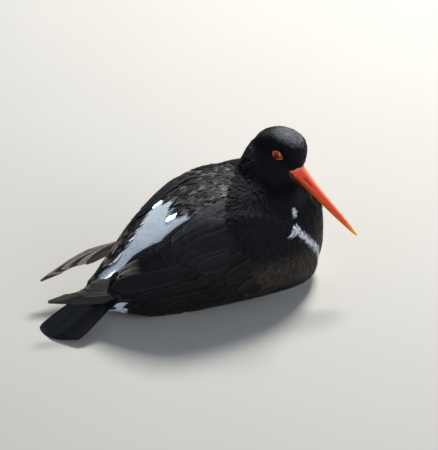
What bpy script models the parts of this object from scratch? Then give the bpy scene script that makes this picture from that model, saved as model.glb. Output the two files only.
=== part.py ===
"""An oystercatcher at life size, sitting on level ground as it does on its eggs.

The bird looks along +X with its left side at +Y. The ground is z = 0, and the
origin lies on the ground under the middle of the bird's outline. Lengths are
written in millimetres and turned into metres as each mesh is laid out.

The trunk, neck and head are lofted, blended into one body, and parted again by
thin cuts. Wings, tail, bill, eyes and legs are lofted over or into that body
and cut back to it with a small gap.
"""

import math

import bmesh
import bpy
from mathutils import Matrix, Vector

MM = 0.001
GAP = 0.35  # left between pieces that touch
LEG_GAP = 0.6  # and this much more round the legs, which lie loosely in the belly feathers
BLEND_STEP = 3.2  # size of the faces that blend trunk, neck and head
BODY_FACES = 1700  # the blended body is thinned out to about this many triangles
FLAT_ENOUGH = 0.05  # faces that meet at less than this many degrees are made one
SHIFT = Vector((18.92, 3.28, 0.0))  # puts the origin under the middle of the outline

# Trunk, without the wings: (x, height of the back), (x, height of the belly) and
# (x, half width). Below 0 the belly is sliced off flat.
BACK = (
    (-124, 23), (-112, 32), (-98, 43), (-86, 54), (-66, 72), (-41, 90), (-20, 102.5), (5, 111),
    (35, 115), (62, 113), (82, 107.5), (94, 100), (101, 93), (106, 86.5), (110, 77.5),
    (112.6, 61), (113.2, 48),
)
BELLY = (
    (-124, 15), (-110, 11), (-95, 6), (-78, 1), (-60, -3), (0, -3), (88, -3), (97, -1), (104, 6),
    (109, 18), (112.6, 36), (113.2, 42),
)
FLANK = (
    (-124, 5), (-112, 13), (-98, 18), (-86, 22), (-66, 31), (-41, 39), (-20, 44), (5, 48),
    (35, 50), (62, 50), (82, 46), (94, 39.5), (101, 33), (106, 28), (110, 22.5), (112.6, 13),
    (113.2, 8),
)
WIDEST_LEVEL = 0.40  # of the height from belly to back
BACK_ROUNDNESS = 2.75
BELLY_ROUNDNESS = 2.9

# Neck: (share of the way up, x, y, z, half length, half width) of its level rings.
NECK = (
    (0.00, 64, 0, 62, 43, 38),
    (0.35, 67, 0, 84, 35, 35),
    (0.65, 66, 0, 104, 30, 26),
    (0.85, 62, 1, 120, 25, 19.5),
    (1.00, 61, 8, 134, 13.5, 11.5),
)

# Head, in its own frame: forward along the bill, up over the crown, right.
BILL_ROOT = Vector((86.0, -14.5, 111.0))
HEAD_TURN = math.radians(-51)
HEAD_DIP = math.radians(-41)
HEAD_ROLL = math.radians(7)
CROWN = (
    (-50, -5), (-48, 3), (-44, 11.5), (-38, 18.2), (-28, 24.4), (-18, 26.2), (-10, 22.0),
    (-4, 14.8), (-1, 10.6), (0.5, 7.8),
)
THROAT = (
    (-50, -5), (-48, -10), (-42, -13.8), (-31, -15), (-20, -13.5), (-10, -11), (-3, -8.8),
    (0.5, -7.4),
)
CHEEK = (
    (-50, 2), (-47, 9), (-41, 14), (-31, 16.6), (-20, 16.2), (-10, 12.2), (-4, 7.4), (0.5, 4.6),
)
HEAD_ROUNDNESS = 2.6

# Bill: (distance from its root, height of the culmen, height of the cutting edge,
# height of the lower edge, half width).
BILL = (
    (-8, 8.8, -2.6, -7.6, 5.8),
    (0, 8.2, -1.9, -7.6, 5.5),
    (8, 6.7, -1.4, -6.9, 4.7),
    (20, 5.0, -1.0, -5.9, 3.7),
    (36, 3.8, -0.7, -5.1, 3.0),
    (55, 2.8, -0.5, -4.1, 2.4),
    (70, 1.8, -0.5, -2.9, 1.8),
    (77, 0.9, -0.5, -1.9, 1.3),
    (80, 0.1, -0.5, -1.0, 0.7),
)
MOUTH_GAP = 0.15  # each jaw stands this far from the cutting edge

# Eye: place of its middle in the head's frame, and how its axis leans.
EYE_AT = Vector((-25.2, 6.4, 15.8))
EYE_RADIUS = 4.6
EYE_SINK = 2.6  # the ball's centre lies this far inside the ring
RING_RADIUS = 3.7
RING_THICKNESS = 0.95
RING_STRETCH = 1.35  # the ring is longer along the head than across it
RING_STEPS = 18
RING_SIDES = 6
EYE_LEAN_FORWARD = math.radians(12)
EYE_LEAN_UP = math.radians(6)

# Wing: (x, angle of the upper edge, angle of the lower edge, thickness) round the
# trunk, counted from the top of the back.
WING = (
    (101, 104, 136, 1.2),
    (97, 92, 146, 3.0),
    (86, 80, 150, 4.6),
    (68, 66, 151, 5.4),
    (40, 50, 151, 5.2),
    (12, 38, 151, 4.6),
    (-20, 31, 149, 4.2),
    (-41, 33, 147, 4.0),
    (-66, 27, 142, 3.6),
    (-86, 18, 132, 3.0),
    (-100, 8, 118, 2.4),
    (-112, 2, 92, 1.6),
)
LEFT_WING_LOOSE = (  # (x, how much further the left wing stands off the body)
    (50, 0.0),
    (12, 2.0),
    (-20, 2.8),
    (-60, 2.6),
    (-86, 1.2),
    (-100, 0.0),
)
WING_ROOT_DEPTH = 5.0  # how far the blank reaches into the trunk before it is cut back

# Folded flight feathers: (share of the length, half depth across the blade,
# half thickness). The blade runs from under the wing to its tip.
BLADE = (
    (0.00, 6, 1.6),
    (0.25, 9, 1.7),
    (0.45, 12, 1.7),
    (0.65, 9.0, 1.4),
    (0.82, 5.2, 0.9),
    (0.94, 2.6, 0.5),
    (1.00, 1.0, 0.35),
)
RIGHT_BLADE = (Vector((-66, -20, 38)), Vector((-115, -12, 35.5)), Vector((-158, -1, 32)))
LEFT_BLADE = (Vector((-58, 27, 50)), Vector((-104, 35, 42)), Vector((-150, 36, 26)))
BLADE_LEAN = (  # (share of the length, lean of the outer edge down from level, in degrees)
    (0.0, 58),
    (0.5, 50),
    (1.0, 24),
)
RIGHT_BLADE_LEAN = 1.0
LEFT_BLADE_LEAN = -0.1
RIGHT_BLADE_DEPTH = 1.0
LEFT_BLADE_DEPTH = 0.9

# Tail: a stack of long feathers, narrow at its root and laid down at its tip.
TAIL_ROOT = Vector((-92, -5, 33))
TAIL_TIP = Vector((-158.5, -14, -0.4))
TAIL = (
    (0.00, 12.5, 2.6),
    (0.40, 18.0, 2.4),
    (0.75, 21.0, 1.9),
    (0.93, 21.5, 1.5),
    (1.00, 19.5, 1.0),
)
TAIL_ARCH = 2.6  # the middle feathers lie this much higher than the outer ones
TAIL_SKEW = 8.0  # the fan is a little askew: longer on the left by this, shorter on the right
TAIL_CORNER = 5.0  # the outer feathers end this much short of the middle ones

# Legs, folded under the belly: heel, ankle, and the stump that goes up into the
# belly feathers. The right leg is at -Y.
LEG_SIDE = 15.0
HEEL_X = -30.0
ANKLE_X = 22.0
SHANK_RADIUS = 3.6
SHANK_HEIGHT = 3.3
STUMP_TOP = Vector((-12.0, 15.0, 19.0))
STUMP_RADIUS = 4.6
HEEL_RADIUS = 5.0
HEEL_LENGTH = 4.0
TOES = (  # (turn out from straight ahead in degrees, length, radius)
    (-22, 27, 2.3),
    (-2, 34, 2.5),
    (18, 29, 2.3),
)
TOE_HEIGHT = 2.1
WEB_LENGTH = 9.0
CLAW_LENGTH = 6.0

# Colours: base colour, roughness
BLACK = ((0.012, 0.012, 0.014), 0.55)
BROWN_BLACK = ((0.020, 0.016, 0.014), 0.55)
ORANGE_RED = ((0.80, 0.10, 0.02), 0.38)
ORANGE = ((0.85, 0.16, 0.02), 0.38)
RING_RED = ((0.75, 0.06, 0.02), 0.40)
IRIS_RED = ((0.30, 0.01, 0.02), 0.10)
LEG_PINK = ((0.62, 0.30, 0.26), 0.50)


def between(stations, where, column=1):
    """The value at a place along a row of stations, on a curve that never overshoots."""
    rows = sorted(stations)
    if where <= rows[0][0]:
        return rows[0][column]
    if where >= rows[-1][0]:
        return rows[-1][column]
    at = max(i for i in range(len(rows) - 1) if rows[i][0] <= where)
    steps = [
        (rows[i + 1][column] - rows[i][column]) / (rows[i + 1][0] - rows[i][0])
        for i in range(len(rows) - 1)
    ]

    def slope(i):
        if i == 0:
            return steps[0]
        if i == len(rows) - 1:
            return steps[-1]
        before, after = steps[i - 1], steps[i]
        if before * after <= 0:
            return 0.0
        return 2 * before * after / (before + after)

    width = rows[at + 1][0] - rows[at][0]
    t = (where - rows[at][0]) / width
    low, high = rows[at][column], rows[at + 1][column]
    return (
        low * (2 * t**3 - 3 * t**2 + 1)
        + width * slope(at) * (t**3 - 2 * t**2 + t)
        + high * (3 * t**2 - 2 * t**3)
        + width * slope(at + 1) * (t**3 - t**2)
    )


def signed_power(value, power):
    return math.copysign(abs(value) ** power, value)


def spread(first, last, count):
    return [first + (last - first) * i / (count - 1) for i in range(count)]


def tube(section, stations, sides):
    """A closed tube: a grid rolled up so that row j is the ring section(stations[j], turn)."""
    bm = bmesh.new()
    bmesh.ops.create_grid(bm, x_segments=sides, y_segments=len(stations) - 1, size=1)
    bm.verts.ensure_lookup_table()
    for index, vert in enumerate(bm.verts):
        row, column = divmod(index, sides + 1)
        turn = 2 * math.pi * (column % sides) / sides
        vert.co = section(stations[row], turn) * MM
    bmesh.ops.remove_doubles(bm, verts=bm.verts, dist=1e-7)
    ends = [edge for edge in bm.edges if edge.is_boundary]
    bmesh.ops.holes_fill(bm, edges=ends, sides=0)
    bmesh.ops.recalc_face_normals(bm, faces=bm.faces)
    return bm


def join(pieces):
    """Several meshes as one, the rest of them being used up."""
    whole = pieces[0]
    for piece in pieces[1:]:
        mesh = bpy.data.meshes.new("joined")
        piece.to_mesh(mesh)
        piece.free()
        whole.from_mesh(mesh)
        bpy.data.meshes.remove(mesh)
    return whole


def as_object(name, bm):
    mesh = bpy.data.meshes.new(name)
    bm.to_mesh(mesh)
    bm.free()
    obj = bpy.data.objects.new(name, mesh)
    bpy.context.collection.objects.link(obj)
    return obj


def settle(obj):
    """Applies the object's modifiers and drops them."""
    bpy.context.view_layer.update()
    evaluated = obj.evaluated_get(bpy.context.evaluated_depsgraph_get())
    mesh = bpy.data.meshes.new_from_object(evaluated)
    obj.modifiers.clear()
    old = obj.data
    obj.data = mesh
    mesh.name = obj.name
    bpy.data.meshes.remove(old)


def copy_of(obj):
    twin = obj.copy()
    twin.data = obj.data.copy()
    bpy.context.collection.objects.link(twin)
    return twin


def drop(obj):
    mesh = obj.data
    bpy.data.objects.remove(obj)
    bpy.data.meshes.remove(mesh)


def keep_largest(obj):
    """Leaves only the largest of the pieces that a cut has made."""
    bm = bmesh.new()
    bm.from_mesh(obj.data)
    left = set(bm.verts)
    islands = []
    while left:
        front = [left.pop()]
        island = set(front)
        while front:
            vert = front.pop()
            for edge in vert.link_edges:
                other = edge.other_vert(vert)
                if other in left:
                    left.remove(other)
                    island.add(other)
                    front.append(other)
        islands.append(island)
    islands.sort(key=len, reverse=True)
    spare = [vert for island in islands[1:] for vert in island]
    bmesh.ops.delete(bm, geom=spare, context="VERTS")
    bmesh.ops.dissolve_degenerate(bm, dist=1e-6, edges=bm.edges)
    bmesh.ops.dissolve_limit(
        bm, angle_limit=math.radians(FLAT_ENOUGH), verts=bm.verts, edges=bm.edges
    )
    bmesh.ops.recalc_face_normals(bm, faces=bm.faces)
    bm.to_mesh(obj.data)
    bm.free()


def cut_back(obj, others):
    """Cuts an object back to a gap's width from each of the others."""
    for other in others:
        cutter = copy_of(other)
        swell = cutter.modifiers.new("swell", "DISPLACE")
        swell.mid_level = 0.0
        swell.strength = GAP * MM
        settle(cutter)
        cut = obj.modifiers.new("cut", "BOOLEAN")
        cut.operation = "DIFFERENCE"
        cut.solver = "EXACT"
        cut.object = cutter
        settle(obj)
        drop(cutter)
    keep_largest(obj)


def slice_off(obj, point, normal):
    """Takes away what lies beyond a plane and closes the cut flat."""
    bm = bmesh.new()
    bm.from_mesh(obj.data)
    geom = list(bm.verts) + list(bm.edges) + list(bm.faces)
    bmesh.ops.bisect_plane(
        bm, geom=geom, dist=1e-7, plane_co=point * MM, plane_no=normal, clear_outer=True
    )
    rim = [edge for edge in bm.edges if edge.is_boundary]
    bmesh.ops.holes_fill(bm, edges=rim, sides=0)
    bmesh.ops.recalc_face_normals(bm, faces=bm.faces)
    bm.to_mesh(obj.data)
    bm.free()


def stand_flat(obj):
    slice_off(obj, Vector((0, 0, 0)), Vector((0, 0, -1)))


def finish(obj, look):
    """Gives a piece its own material and soft shading, and moves it over the origin."""
    colour, roughness = look
    material = bpy.data.materials.new(obj.name)
    material.use_nodes = True
    shader = material.node_tree.nodes["Principled BSDF"]
    shader.inputs["Base Color"].default_value = (*colour, 1.0)
    shader.inputs["Roughness"].default_value = roughness
    shader.inputs["Metallic"].default_value = 0.0
    obj.data.materials.clear()
    obj.data.materials.append(material)
    obj.data.transform(Matrix.Translation(SHIFT * MM))
    obj.data.shade_smooth()
    obj.data.set_sharp_from_angle(angle=math.radians(40))


def head_axes():
    """The head's own axes: forward along the bill, up over the crown, and right."""
    ahead = Vector((
        math.cos(HEAD_DIP) * math.cos(HEAD_TURN),
        math.cos(HEAD_DIP) * math.sin(HEAD_TURN),
        math.sin(HEAD_DIP),
    ))
    level_right = Vector((math.sin(HEAD_TURN), -math.cos(HEAD_TURN), 0))
    level_up = level_right.cross(ahead)
    right = math.cos(HEAD_ROLL) * level_right + math.sin(HEAD_ROLL) * level_up
    up = math.cos(HEAD_ROLL) * level_up - math.sin(HEAD_ROLL) * level_right
    return ahead, up, right


AHEAD, UP, RIGHT = head_axes()


def in_head(ahead, up, right):
    return BILL_ROOT + ahead * AHEAD + up * UP + right * RIGHT


def trunk_point(x, turn, grow=0.0):
    """A point on the trunk: turn is 0 on the back and grows towards the bird's right."""
    top = between(BACK, x) + grow
    bottom = between(BELLY, x) - grow
    half = between(FLANK, x) + grow
    middle = bottom + WIDEST_LEVEL * (top - bottom)
    across = math.sin(turn)
    height = math.cos(turn)
    if height > 0:
        power = 2 / BACK_ROUNDNESS
        z = middle + (top - middle) * signed_power(height, power)
    else:
        power = 2 / BELLY_ROUNDNESS
        z = middle + (middle - bottom) * signed_power(height, power)
    return Vector((x, -half * signed_power(across, power), z))


def make_body():
    """Trunk, neck and head blended into one closed body, standing flat on the ground."""
    trunk = tube(trunk_point, spread(BACK[0][0], BACK[-1][0], 44), 40)

    def neck_ring(share, turn):
        x, y, z, long_half, wide_half = (between(NECK, share, i) for i in range(1, 6))
        return Vector((x + long_half * math.cos(turn), y + wide_half * math.sin(turn), z))

    neck = tube(neck_ring, spread(0, 1, 14), 32)

    def head_ring(ahead, turn):
        top = between(CROWN, ahead)
        bottom = between(THROAT, ahead)
        middle = (top + bottom) / 2
        up = middle + (top - middle) * signed_power(math.cos(turn), 2 / HEAD_ROUNDNESS)
        return in_head(ahead, up, between(CHEEK, ahead) * signed_power(math.sin(turn), 2 / HEAD_ROUNDNESS))

    head = tube(head_ring, spread(CROWN[0][0], CROWN[-1][0], 18), 28)
    body = as_object("body", join([trunk, neck, head]))
    blend = body.modifiers.new("blend", "REMESH")
    blend.mode = "VOXEL"
    blend.voxel_size = BLEND_STEP * MM
    soften = body.modifiers.new("soften", "SMOOTH")
    soften.factor = 0.5
    soften.iterations = 3
    settle(body)
    thin = body.modifiers.new("thin", "DECIMATE")
    faces = sum(len(face.vertices) - 2 for face in body.data.polygons)
    thin.ratio = min(1.0, BODY_FACES / faces)
    settle(body)
    stand_flat(body)
    return body


def part_of(body, name, planes):
    """The part of the body on the near side of each (point, outward direction) plane."""
    piece = copy_of(body)
    piece.name = name
    for point, normal in planes:
        slice_off(piece, point - normal * GAP / 2, normal)
    keep_largest(piece)
    return piece


def make_bill():
    """The two jaws, each flat along the line where they close."""

    def jaw(upper):
        def ring(along, turn):
            culmen, edge, keel, half = (between(BILL, along, i) for i in range(1, 5))
            far = culmen if upper else keel
            near = edge + (MOUTH_GAP if upper else -MOUTH_GAP)
            rise = max(0.0, math.sin(turn)) ** 0.8
            side = half * signed_power(math.cos(turn), 0.75)
            if math.sin(turn) < 0:
                return in_head(along, near, side)
            narrowing = 1 - 0.25 * rise
            return in_head(along, near + (far - near) * rise, side * narrowing)

        return tube(ring, [row[0] for row in BILL], 12)

    return as_object("bill_upper", jaw(True)), as_object("bill_lower", jaw(False))


def eye_frame(side):
    """Middle of the eye ring, its outward axis and its long axis. Side is 1 on the right."""
    out = (
        side * RIGHT * math.cos(EYE_LEAN_FORWARD)
        + AHEAD * math.sin(EYE_LEAN_FORWARD)
        + UP * math.sin(EYE_LEAN_UP)
    ).normalized()
    middle = in_head(EYE_AT.x, EYE_AT.y, side * EYE_AT.z)
    long_axis = (AHEAD - out * AHEAD.dot(out)).normalized()
    return middle, out, long_axis


def make_eye(side):
    """An eyeball and the bare ring of skin round it."""
    middle, out, long_axis = eye_frame(side)
    short_axis = out.cross(long_axis)
    name = "right" if side > 0 else "left"
    bm = bmesh.new()
    bmesh.ops.create_uvsphere(bm, u_segments=12, v_segments=8, radius=EYE_RADIUS * MM)
    turn = Matrix((long_axis, short_axis, out)).transposed().to_4x4()
    bmesh.ops.transform(bm, matrix=turn, verts=bm.verts)
    bmesh.ops.translate(bm, verts=bm.verts, vec=(middle - out * EYE_SINK) * MM)
    ball = as_object("eye_" + name, bm)

    def ring_section(round_eye, turn):
        reach = RING_RADIUS + RING_THICKNESS * math.cos(turn)
        point = middle + out * RING_THICKNESS * math.sin(turn)
        point = point + long_axis * RING_STRETCH * reach * math.cos(round_eye)
        return point + short_axis * reach * math.sin(round_eye)

    bm = bmesh.new()
    bmesh.ops.create_grid(bm, x_segments=RING_SIDES, y_segments=RING_STEPS, size=1)
    bm.verts.ensure_lookup_table()
    for index, vert in enumerate(bm.verts):
        row, column = divmod(index, RING_SIDES + 1)
        around = 2 * math.pi * (row % RING_STEPS) / RING_STEPS
        turn = 2 * math.pi * (column % RING_SIDES) / RING_SIDES
        vert.co = ring_section(around, turn) * MM
    bmesh.ops.remove_doubles(bm, verts=bm.verts, dist=1e-7)
    bmesh.ops.recalc_face_normals(bm, faces=bm.faces)
    ring = as_object("eye_ring_" + name, bm)
    return ball, ring


def make_wing_blank(side):
    """The outer shape of a folded wing, which lies along the flank and sinks into it."""
    name = "wing_right" if side > 0 else "wing_left"

    def ring(x, turn):
        upper, lower, thick = (between(WING, x, i) for i in range(1, 4))
        if side < 0:
            thick += between(LEFT_WING_LOOSE, x)
        across = (1 - math.cos(turn)) / 2
        angle = math.radians(upper + (lower - upper) * across)
        wave = signed_power(math.sin(turn), 0.45)
        middle = (thick - WING_ROOT_DEPTH) / 2
        grow = middle + (thick + WING_ROOT_DEPTH) / 2 * wave
        return trunk_point(x, side * angle, grow)

    blank = as_object(name, tube(ring, spread(WING[0][0], WING[-1][0], 22), 16))
    stand_flat(blank)
    return blank


def make_blade(side, path, depth, lean, others):
    """The long flight feathers of a folded wing, closed into one narrow blade."""
    name = "primaries_right" if side > 0 else "primaries_left"

    def ring(share, turn):
        first, middle, last = path
        here = (1 - share) ** 2 * first + 2 * share * (1 - share) * middle + share**2 * last
        heading = 2 * (1 - share) * (middle - first) + 2 * share * (last - middle)
        heading.normalize()
        flat = heading.cross(Vector((0, 0, 1))).normalized() * -side
        rise = flat.cross(heading).normalized()
        if rise.z < 0:
            rise = -rise
        roll = math.radians(lean * between(BLADE_LEAN, share))
        across = flat * math.cos(roll) - rise * math.sin(roll)
        out = rise * math.cos(roll) + flat * math.sin(roll)
        deep, thick = (between(BLADE, share, i) for i in (1, 2))
        deep = deep * depth
        bow = 0.10 * deep * (1 - math.cos(turn) ** 2)
        return here + across * deep * math.cos(turn) + out * (thick * math.sin(turn) + bow)

    blade = as_object(name, tube(ring, spread(0, 1, 16), 10))
    stand_flat(blade)
    cut_back(blade, others)
    return blade


def make_tail(name, others):
    """The tail feathers, closed into one flat fan that lies on the ground at its tip."""
    along = TAIL_TIP - TAIL_ROOT
    wide = Vector((along.y, -along.x, 0)).normalized()
    rise = wide.cross(along).normalized()
    if rise.z < 0:
        rise = -rise

    def ring(share, turn):
        half, thick = (between(TAIL, share, i) for i in (1, 2))
        place = math.cos(turn)
        arch = TAIL_ARCH * (1 - place**2) * (1 - 0.6 * share)
        back = TAIL_CORNER * place**2 * share**3 - TAIL_SKEW * place * share
        point = TAIL_ROOT + along * share - along.normalized() * back
        return point + wide * half * place + rise * (thick * math.sin(turn) + arch)

    tail = as_object(name, tube(ring, spread(0, 1, 12), 16))
    stand_flat(tail)
    cut_back(tail, others)
    return tail


def rod(start, end, radius, end_radius, sides=10, flatness=1.0, rounded=True):
    """A rod from one point to another, with round ends unless it is to be cut square."""
    axis = (end - start).normalized()
    level = axis.cross(Vector((0, 0, 1)))
    if level.length < 0.1:
        level = Vector((0, 1, 0))
    level.normalize()
    upright = level.cross(axis)

    def ring(share, turn):
        size = radius + (end_radius - radius) * min(1.0, max(0.0, share))
        swell = 1.0
        place = min(1.0, max(0.0, share))
        over = share - place
        if over:
            swell = math.sqrt(max(0.0, 1 - (over / 0.2) ** 2))
            over = over / 0.2 * size
        centre = start + (end - start) * place + axis * over
        wide = level * math.cos(turn) * size * swell
        return centre + wide + upright * math.sin(turn) * size * swell * flatness

    return tube(ring, [-0.2, -0.15, 0.0, 1.0, 1.15, 1.2] if rounded else [0.0, 1.0], sides)


def unite(name, pieces):
    """Several closed meshes as one closed body."""
    whole = as_object(name, pieces[0])
    for piece in pieces[1:]:
        other = as_object("other", piece)
        union = whole.modifiers.new("union", "BOOLEAN")
        union.operation = "UNION"
        union.solver = "EXACT"
        union.object = other
        settle(whole)
        drop(other)
    keep_largest(whole)
    return whole


def hull_of(obj):
    """A plain closed hull round an object."""
    bm = bmesh.new()
    bm.from_mesh(obj.data)
    made = bmesh.ops.convex_hull(bm, input=bm.verts)
    inside = [item for item in made["geom_interior"] if isinstance(item, bmesh.types.BMVert)]
    bmesh.ops.delete(bm, geom=inside, context="VERTS")
    spare = [face for face in bm.faces if face not in set(made["geom"])]
    bmesh.ops.delete(bm, geom=spare, context="FACES")
    bmesh.ops.recalc_face_normals(bm, faces=bm.faces)
    return as_object("hull", bm)


def leg_rods(side, extra=0.0):
    """Shank, heel joint and stump of a folded leg, all of them thicker by the extra."""
    y = -side * LEG_SIDE
    heel = Vector((HEEL_X, y, SHANK_HEIGHT + 1.0))
    ankle = Vector((ANKLE_X, y, SHANK_HEIGHT))
    top = Vector((STUMP_TOP.x, -side * STUMP_TOP.y, STUMP_TOP.z))
    shank = SHANK_RADIUS + extra
    joint = HEEL_RADIUS + extra
    half_joint = Vector((HEEL_LENGTH / 2, 0, 0))
    return [
        rod(heel, ankle, shank, shank),
        rod(heel - half_joint, heel + half_joint, joint, joint),
        rod(heel, top, joint, STUMP_RADIUS + extra),
    ]


def make_leg(side):
    """A shank laid along the ground, its heel, and the stump that goes up into the belly."""
    leg = unite("leg_right" if side > 0 else "leg_left", leg_rods(side))
    stand_flat(leg)
    return leg


def make_foot(side, leg):
    """Three webbed toes with their claws, spread on the ground ahead of the ankle."""
    name = "right" if side > 0 else "left"
    ankle = Vector((ANKLE_X + 4.0, -side * LEG_SIDE, TOE_HEIGHT + 0.6))
    pieces = [rod(ankle, ankle + Vector((2, 0, 0)), SHANK_RADIUS * 0.9, SHANK_RADIUS * 0.9)]
    for out, length, radius in TOES:
        turn = math.radians(out) * -side
        heading = Vector((math.cos(turn), math.sin(turn), 0))
        end = ankle + heading * length - Vector((0, 0, 0.6))
        pieces.append(rod(ankle, end, radius * 1.15, radius, 6, 0.9))
        claw_end = end + heading * CLAW_LENGTH - Vector((0, 0, 0.7))
        pieces.append(rod(end, claw_end, radius * 0.72, 0.4, 6, rounded=False))
    bm = bmesh.new()
    bmesh.ops.create_cone(
        bm, cap_ends=True, segments=12, radius1=WEB_LENGTH * MM, radius2=WEB_LENGTH * MM, depth=0.0022
    )
    shift = ankle + Vector((WEB_LENGTH * 0.75, 0, -0.6))
    bmesh.ops.translate(bm, verts=bm.verts, vec=shift * MM)
    pieces.append(bm)
    foot = unite("foot_" + name, pieces)
    stand_flat(foot)
    cut_back(foot, [leg])
    return foot


for existing in list(bpy.data.objects):
    bpy.data.objects.remove(existing)

body = make_body()

# The neck is parted from the trunk by a plane that slopes down to the breast, and
# from the head by one that runs from under the nape to under the chin.
collar_point = Vector((72, 0, 97))
collar_up = Vector((0.46, 0, 0.89)).normalized()
nape_point = in_head(-30, -15.5, 0)
nape_up = (UP * 0.94 - AHEAD * 0.34).normalized()
trunk = part_of(body, "trunk", [(collar_point, collar_up)])
neck = part_of(body, "neck", [(collar_point, -collar_up), (nape_point, nape_up)])
head = part_of(body, "head", [(nape_point, -nape_up)])

bill_upper, bill_lower = make_bill()
eyes = []
rings = []
for side in (1, -1):
    ball, ring = make_eye(side)
    cut_back(ring, [ball])
    eyes.append(ball)
    rings.append(ring)
sockets = [hull_of(ring) for ring in rings]
cut_back(head, eyes + sockets + [bill_upper, bill_lower])
cut_back(neck, [bill_upper, bill_lower])

tail = make_tail("tail", [body])
tail_mould = make_tail("tail_mould", [])
wings = [make_wing_blank(side) for side in (1, -1)]
blanks = [copy_of(wing) for wing in wings]
for wing in wings:
    cut_back(wing, [tail_mould, body])
blades = [
    make_blade(1, RIGHT_BLADE, RIGHT_BLADE_DEPTH, RIGHT_BLADE_LEAN, [tail_mould, body, blanks[0]]),
    make_blade(-1, LEFT_BLADE, LEFT_BLADE_DEPTH, LEFT_BLADE_LEAN, [tail_mould, body, blanks[1]]),
]
cut_back(blades[1], [blades[0]])

legs = [make_leg(side) for side in (1, -1)]
feet = [make_foot(side, leg) for side, leg in zip((1, -1), legs)]
moulds = [as_object("mould", bm) for side in (1, -1) for bm in leg_rods(side, LEG_GAP)]
moulds += [hull_of(foot) for foot in feet]
cut_back(trunk, moulds)
for spare in [body, tail_mould] + sockets + moulds + blanks:
    drop(spare)

finish(trunk, BROWN_BLACK)
finish(neck, BLACK)
finish(head, BLACK)
finish(bill_upper, ORANGE_RED)
finish(bill_lower, ORANGE)
for ball in eyes:
    finish(ball, IRIS_RED)
for ring in rings:
    finish(ring, RING_RED)
for wing in wings + blades:
    finish(wing, BROWN_BLACK)
finish(tail, BLACK)
for piece in legs + feet:
    finish(piece, LEG_PINK)
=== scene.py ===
import math
import random

import bmesh
import bpy
import numpy as np
from mathutils import Matrix, Vector, kdtree
from mathutils.bvhtree import BVHTree


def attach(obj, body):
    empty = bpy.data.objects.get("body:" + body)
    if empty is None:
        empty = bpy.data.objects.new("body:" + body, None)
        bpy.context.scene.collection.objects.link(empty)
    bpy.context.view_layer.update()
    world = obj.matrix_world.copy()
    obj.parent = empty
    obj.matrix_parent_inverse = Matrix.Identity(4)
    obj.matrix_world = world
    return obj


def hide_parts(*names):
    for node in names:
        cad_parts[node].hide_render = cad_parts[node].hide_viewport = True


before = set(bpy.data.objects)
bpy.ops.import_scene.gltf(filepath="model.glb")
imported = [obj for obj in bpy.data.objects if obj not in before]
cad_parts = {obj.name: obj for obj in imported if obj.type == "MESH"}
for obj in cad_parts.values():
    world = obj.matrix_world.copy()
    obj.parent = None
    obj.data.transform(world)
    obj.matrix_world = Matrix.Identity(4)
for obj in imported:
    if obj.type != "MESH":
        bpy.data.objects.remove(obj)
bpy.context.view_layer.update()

# The camera stands behind the bird's right shoulder and well above it, far enough
# away to flatten the perspective. All places below are in millimetres from the bird's
# own zero, which lies on the ground between its wings.
MM = 0.001
CM = 0.01
TOUCHING = 1e-6  # corners closer than this are one corner
BIRD_ZERO = Vector((18.92, 3.28, 0.0))
AZIMUTH = math.radians(-25)
ELEVATION = math.radians(37)
DISTANCE = 3200.0
FRAME_WIDTH = 438
FRAME_HEIGHT = 450
PIXELS_PER_MM = 1.09
ZERO_SHOWS_AT = (205, 283.6)
FILM_WIDTH = 36.0


def bird(x, y, z):
    """A place on the bird, from millimetres to the frame's metres."""
    return (Vector((x, y, z)) + BIRD_ZERO) * MM


def to_bird(point):
    """A place in the frame's metres, back to millimetres on the bird."""
    return point / MM - BIRD_ZERO


view_right = Vector((math.cos(AZIMUTH), math.sin(AZIMUTH), 0))
view_up = Vector((
    -math.sin(AZIMUTH) * math.sin(ELEVATION),
    math.cos(AZIMUTH) * math.sin(ELEVATION),
    math.cos(ELEVATION),
))
view_back = view_right.cross(view_up)
aim = BIRD_ZERO + view_right * (FRAME_WIDTH / 2 - ZERO_SHOWS_AT[0]) / PIXELS_PER_MM
aim = aim + view_up * (ZERO_SHOWS_AT[1] - FRAME_HEIGHT / 2) / PIXELS_PER_MM
camera = bpy.data.objects.new("camera", bpy.data.cameras.new("camera"))
camera.data.sensor_fit = "HORIZONTAL"
camera.data.sensor_width = FILM_WIDTH
camera.data.lens = FILM_WIDTH * DISTANCE / (FRAME_WIDTH / PIXELS_PER_MM)
camera_axes = Matrix((view_right, view_up, view_back)).transposed().to_4x4()
camera.matrix_world = Matrix.Translation((aim + view_back * DISTANCE) * MM) @ camera_axes
bpy.context.scene.collection.objects.link(camera)
bpy.context.scene.camera = camera

# The floor is a plain pale sheet, matt and very slightly mottled.
FLOOR_SIZE = 5.0
FLOOR_COLOUR = (0.42, 0.41, 0.39)
FLOOR_MOTTLE = (0.97, 1.03)


def new_material(name, colour=(0.5, 0.5, 0.5), roughness=0.5):
    """A material with its shader set to one colour, to be worked up by its own section."""
    made = bpy.data.materials.new(name)
    made.use_nodes = True
    shader = made.node_tree.nodes["Principled BSDF"]
    shader.inputs["Base Color"].default_value = (*colour, 1.0)
    shader.inputs["Roughness"].default_value = roughness
    return made, made.node_tree, shader


def feed(tree, socket, value):
    """Joins an input to another node's output, or sets it to a number."""
    if isinstance(value, bpy.types.NodeSocket):
        tree.links.new(value, socket)
    else:
        socket.default_value = value


def add_node(tree, kind, inputs=(), **settings):
    """A node with its settings, and with what each of its inputs is fed."""
    node = tree.nodes.new(kind)
    for key, value in settings.items():
        setattr(node, key, value)
    for key, value in dict(inputs).items():
        feed(tree, node.inputs[key], value)
    return node


def object_place(tree):
    return add_node(tree, "ShaderNodeTexCoord").outputs["Object"]


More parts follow.
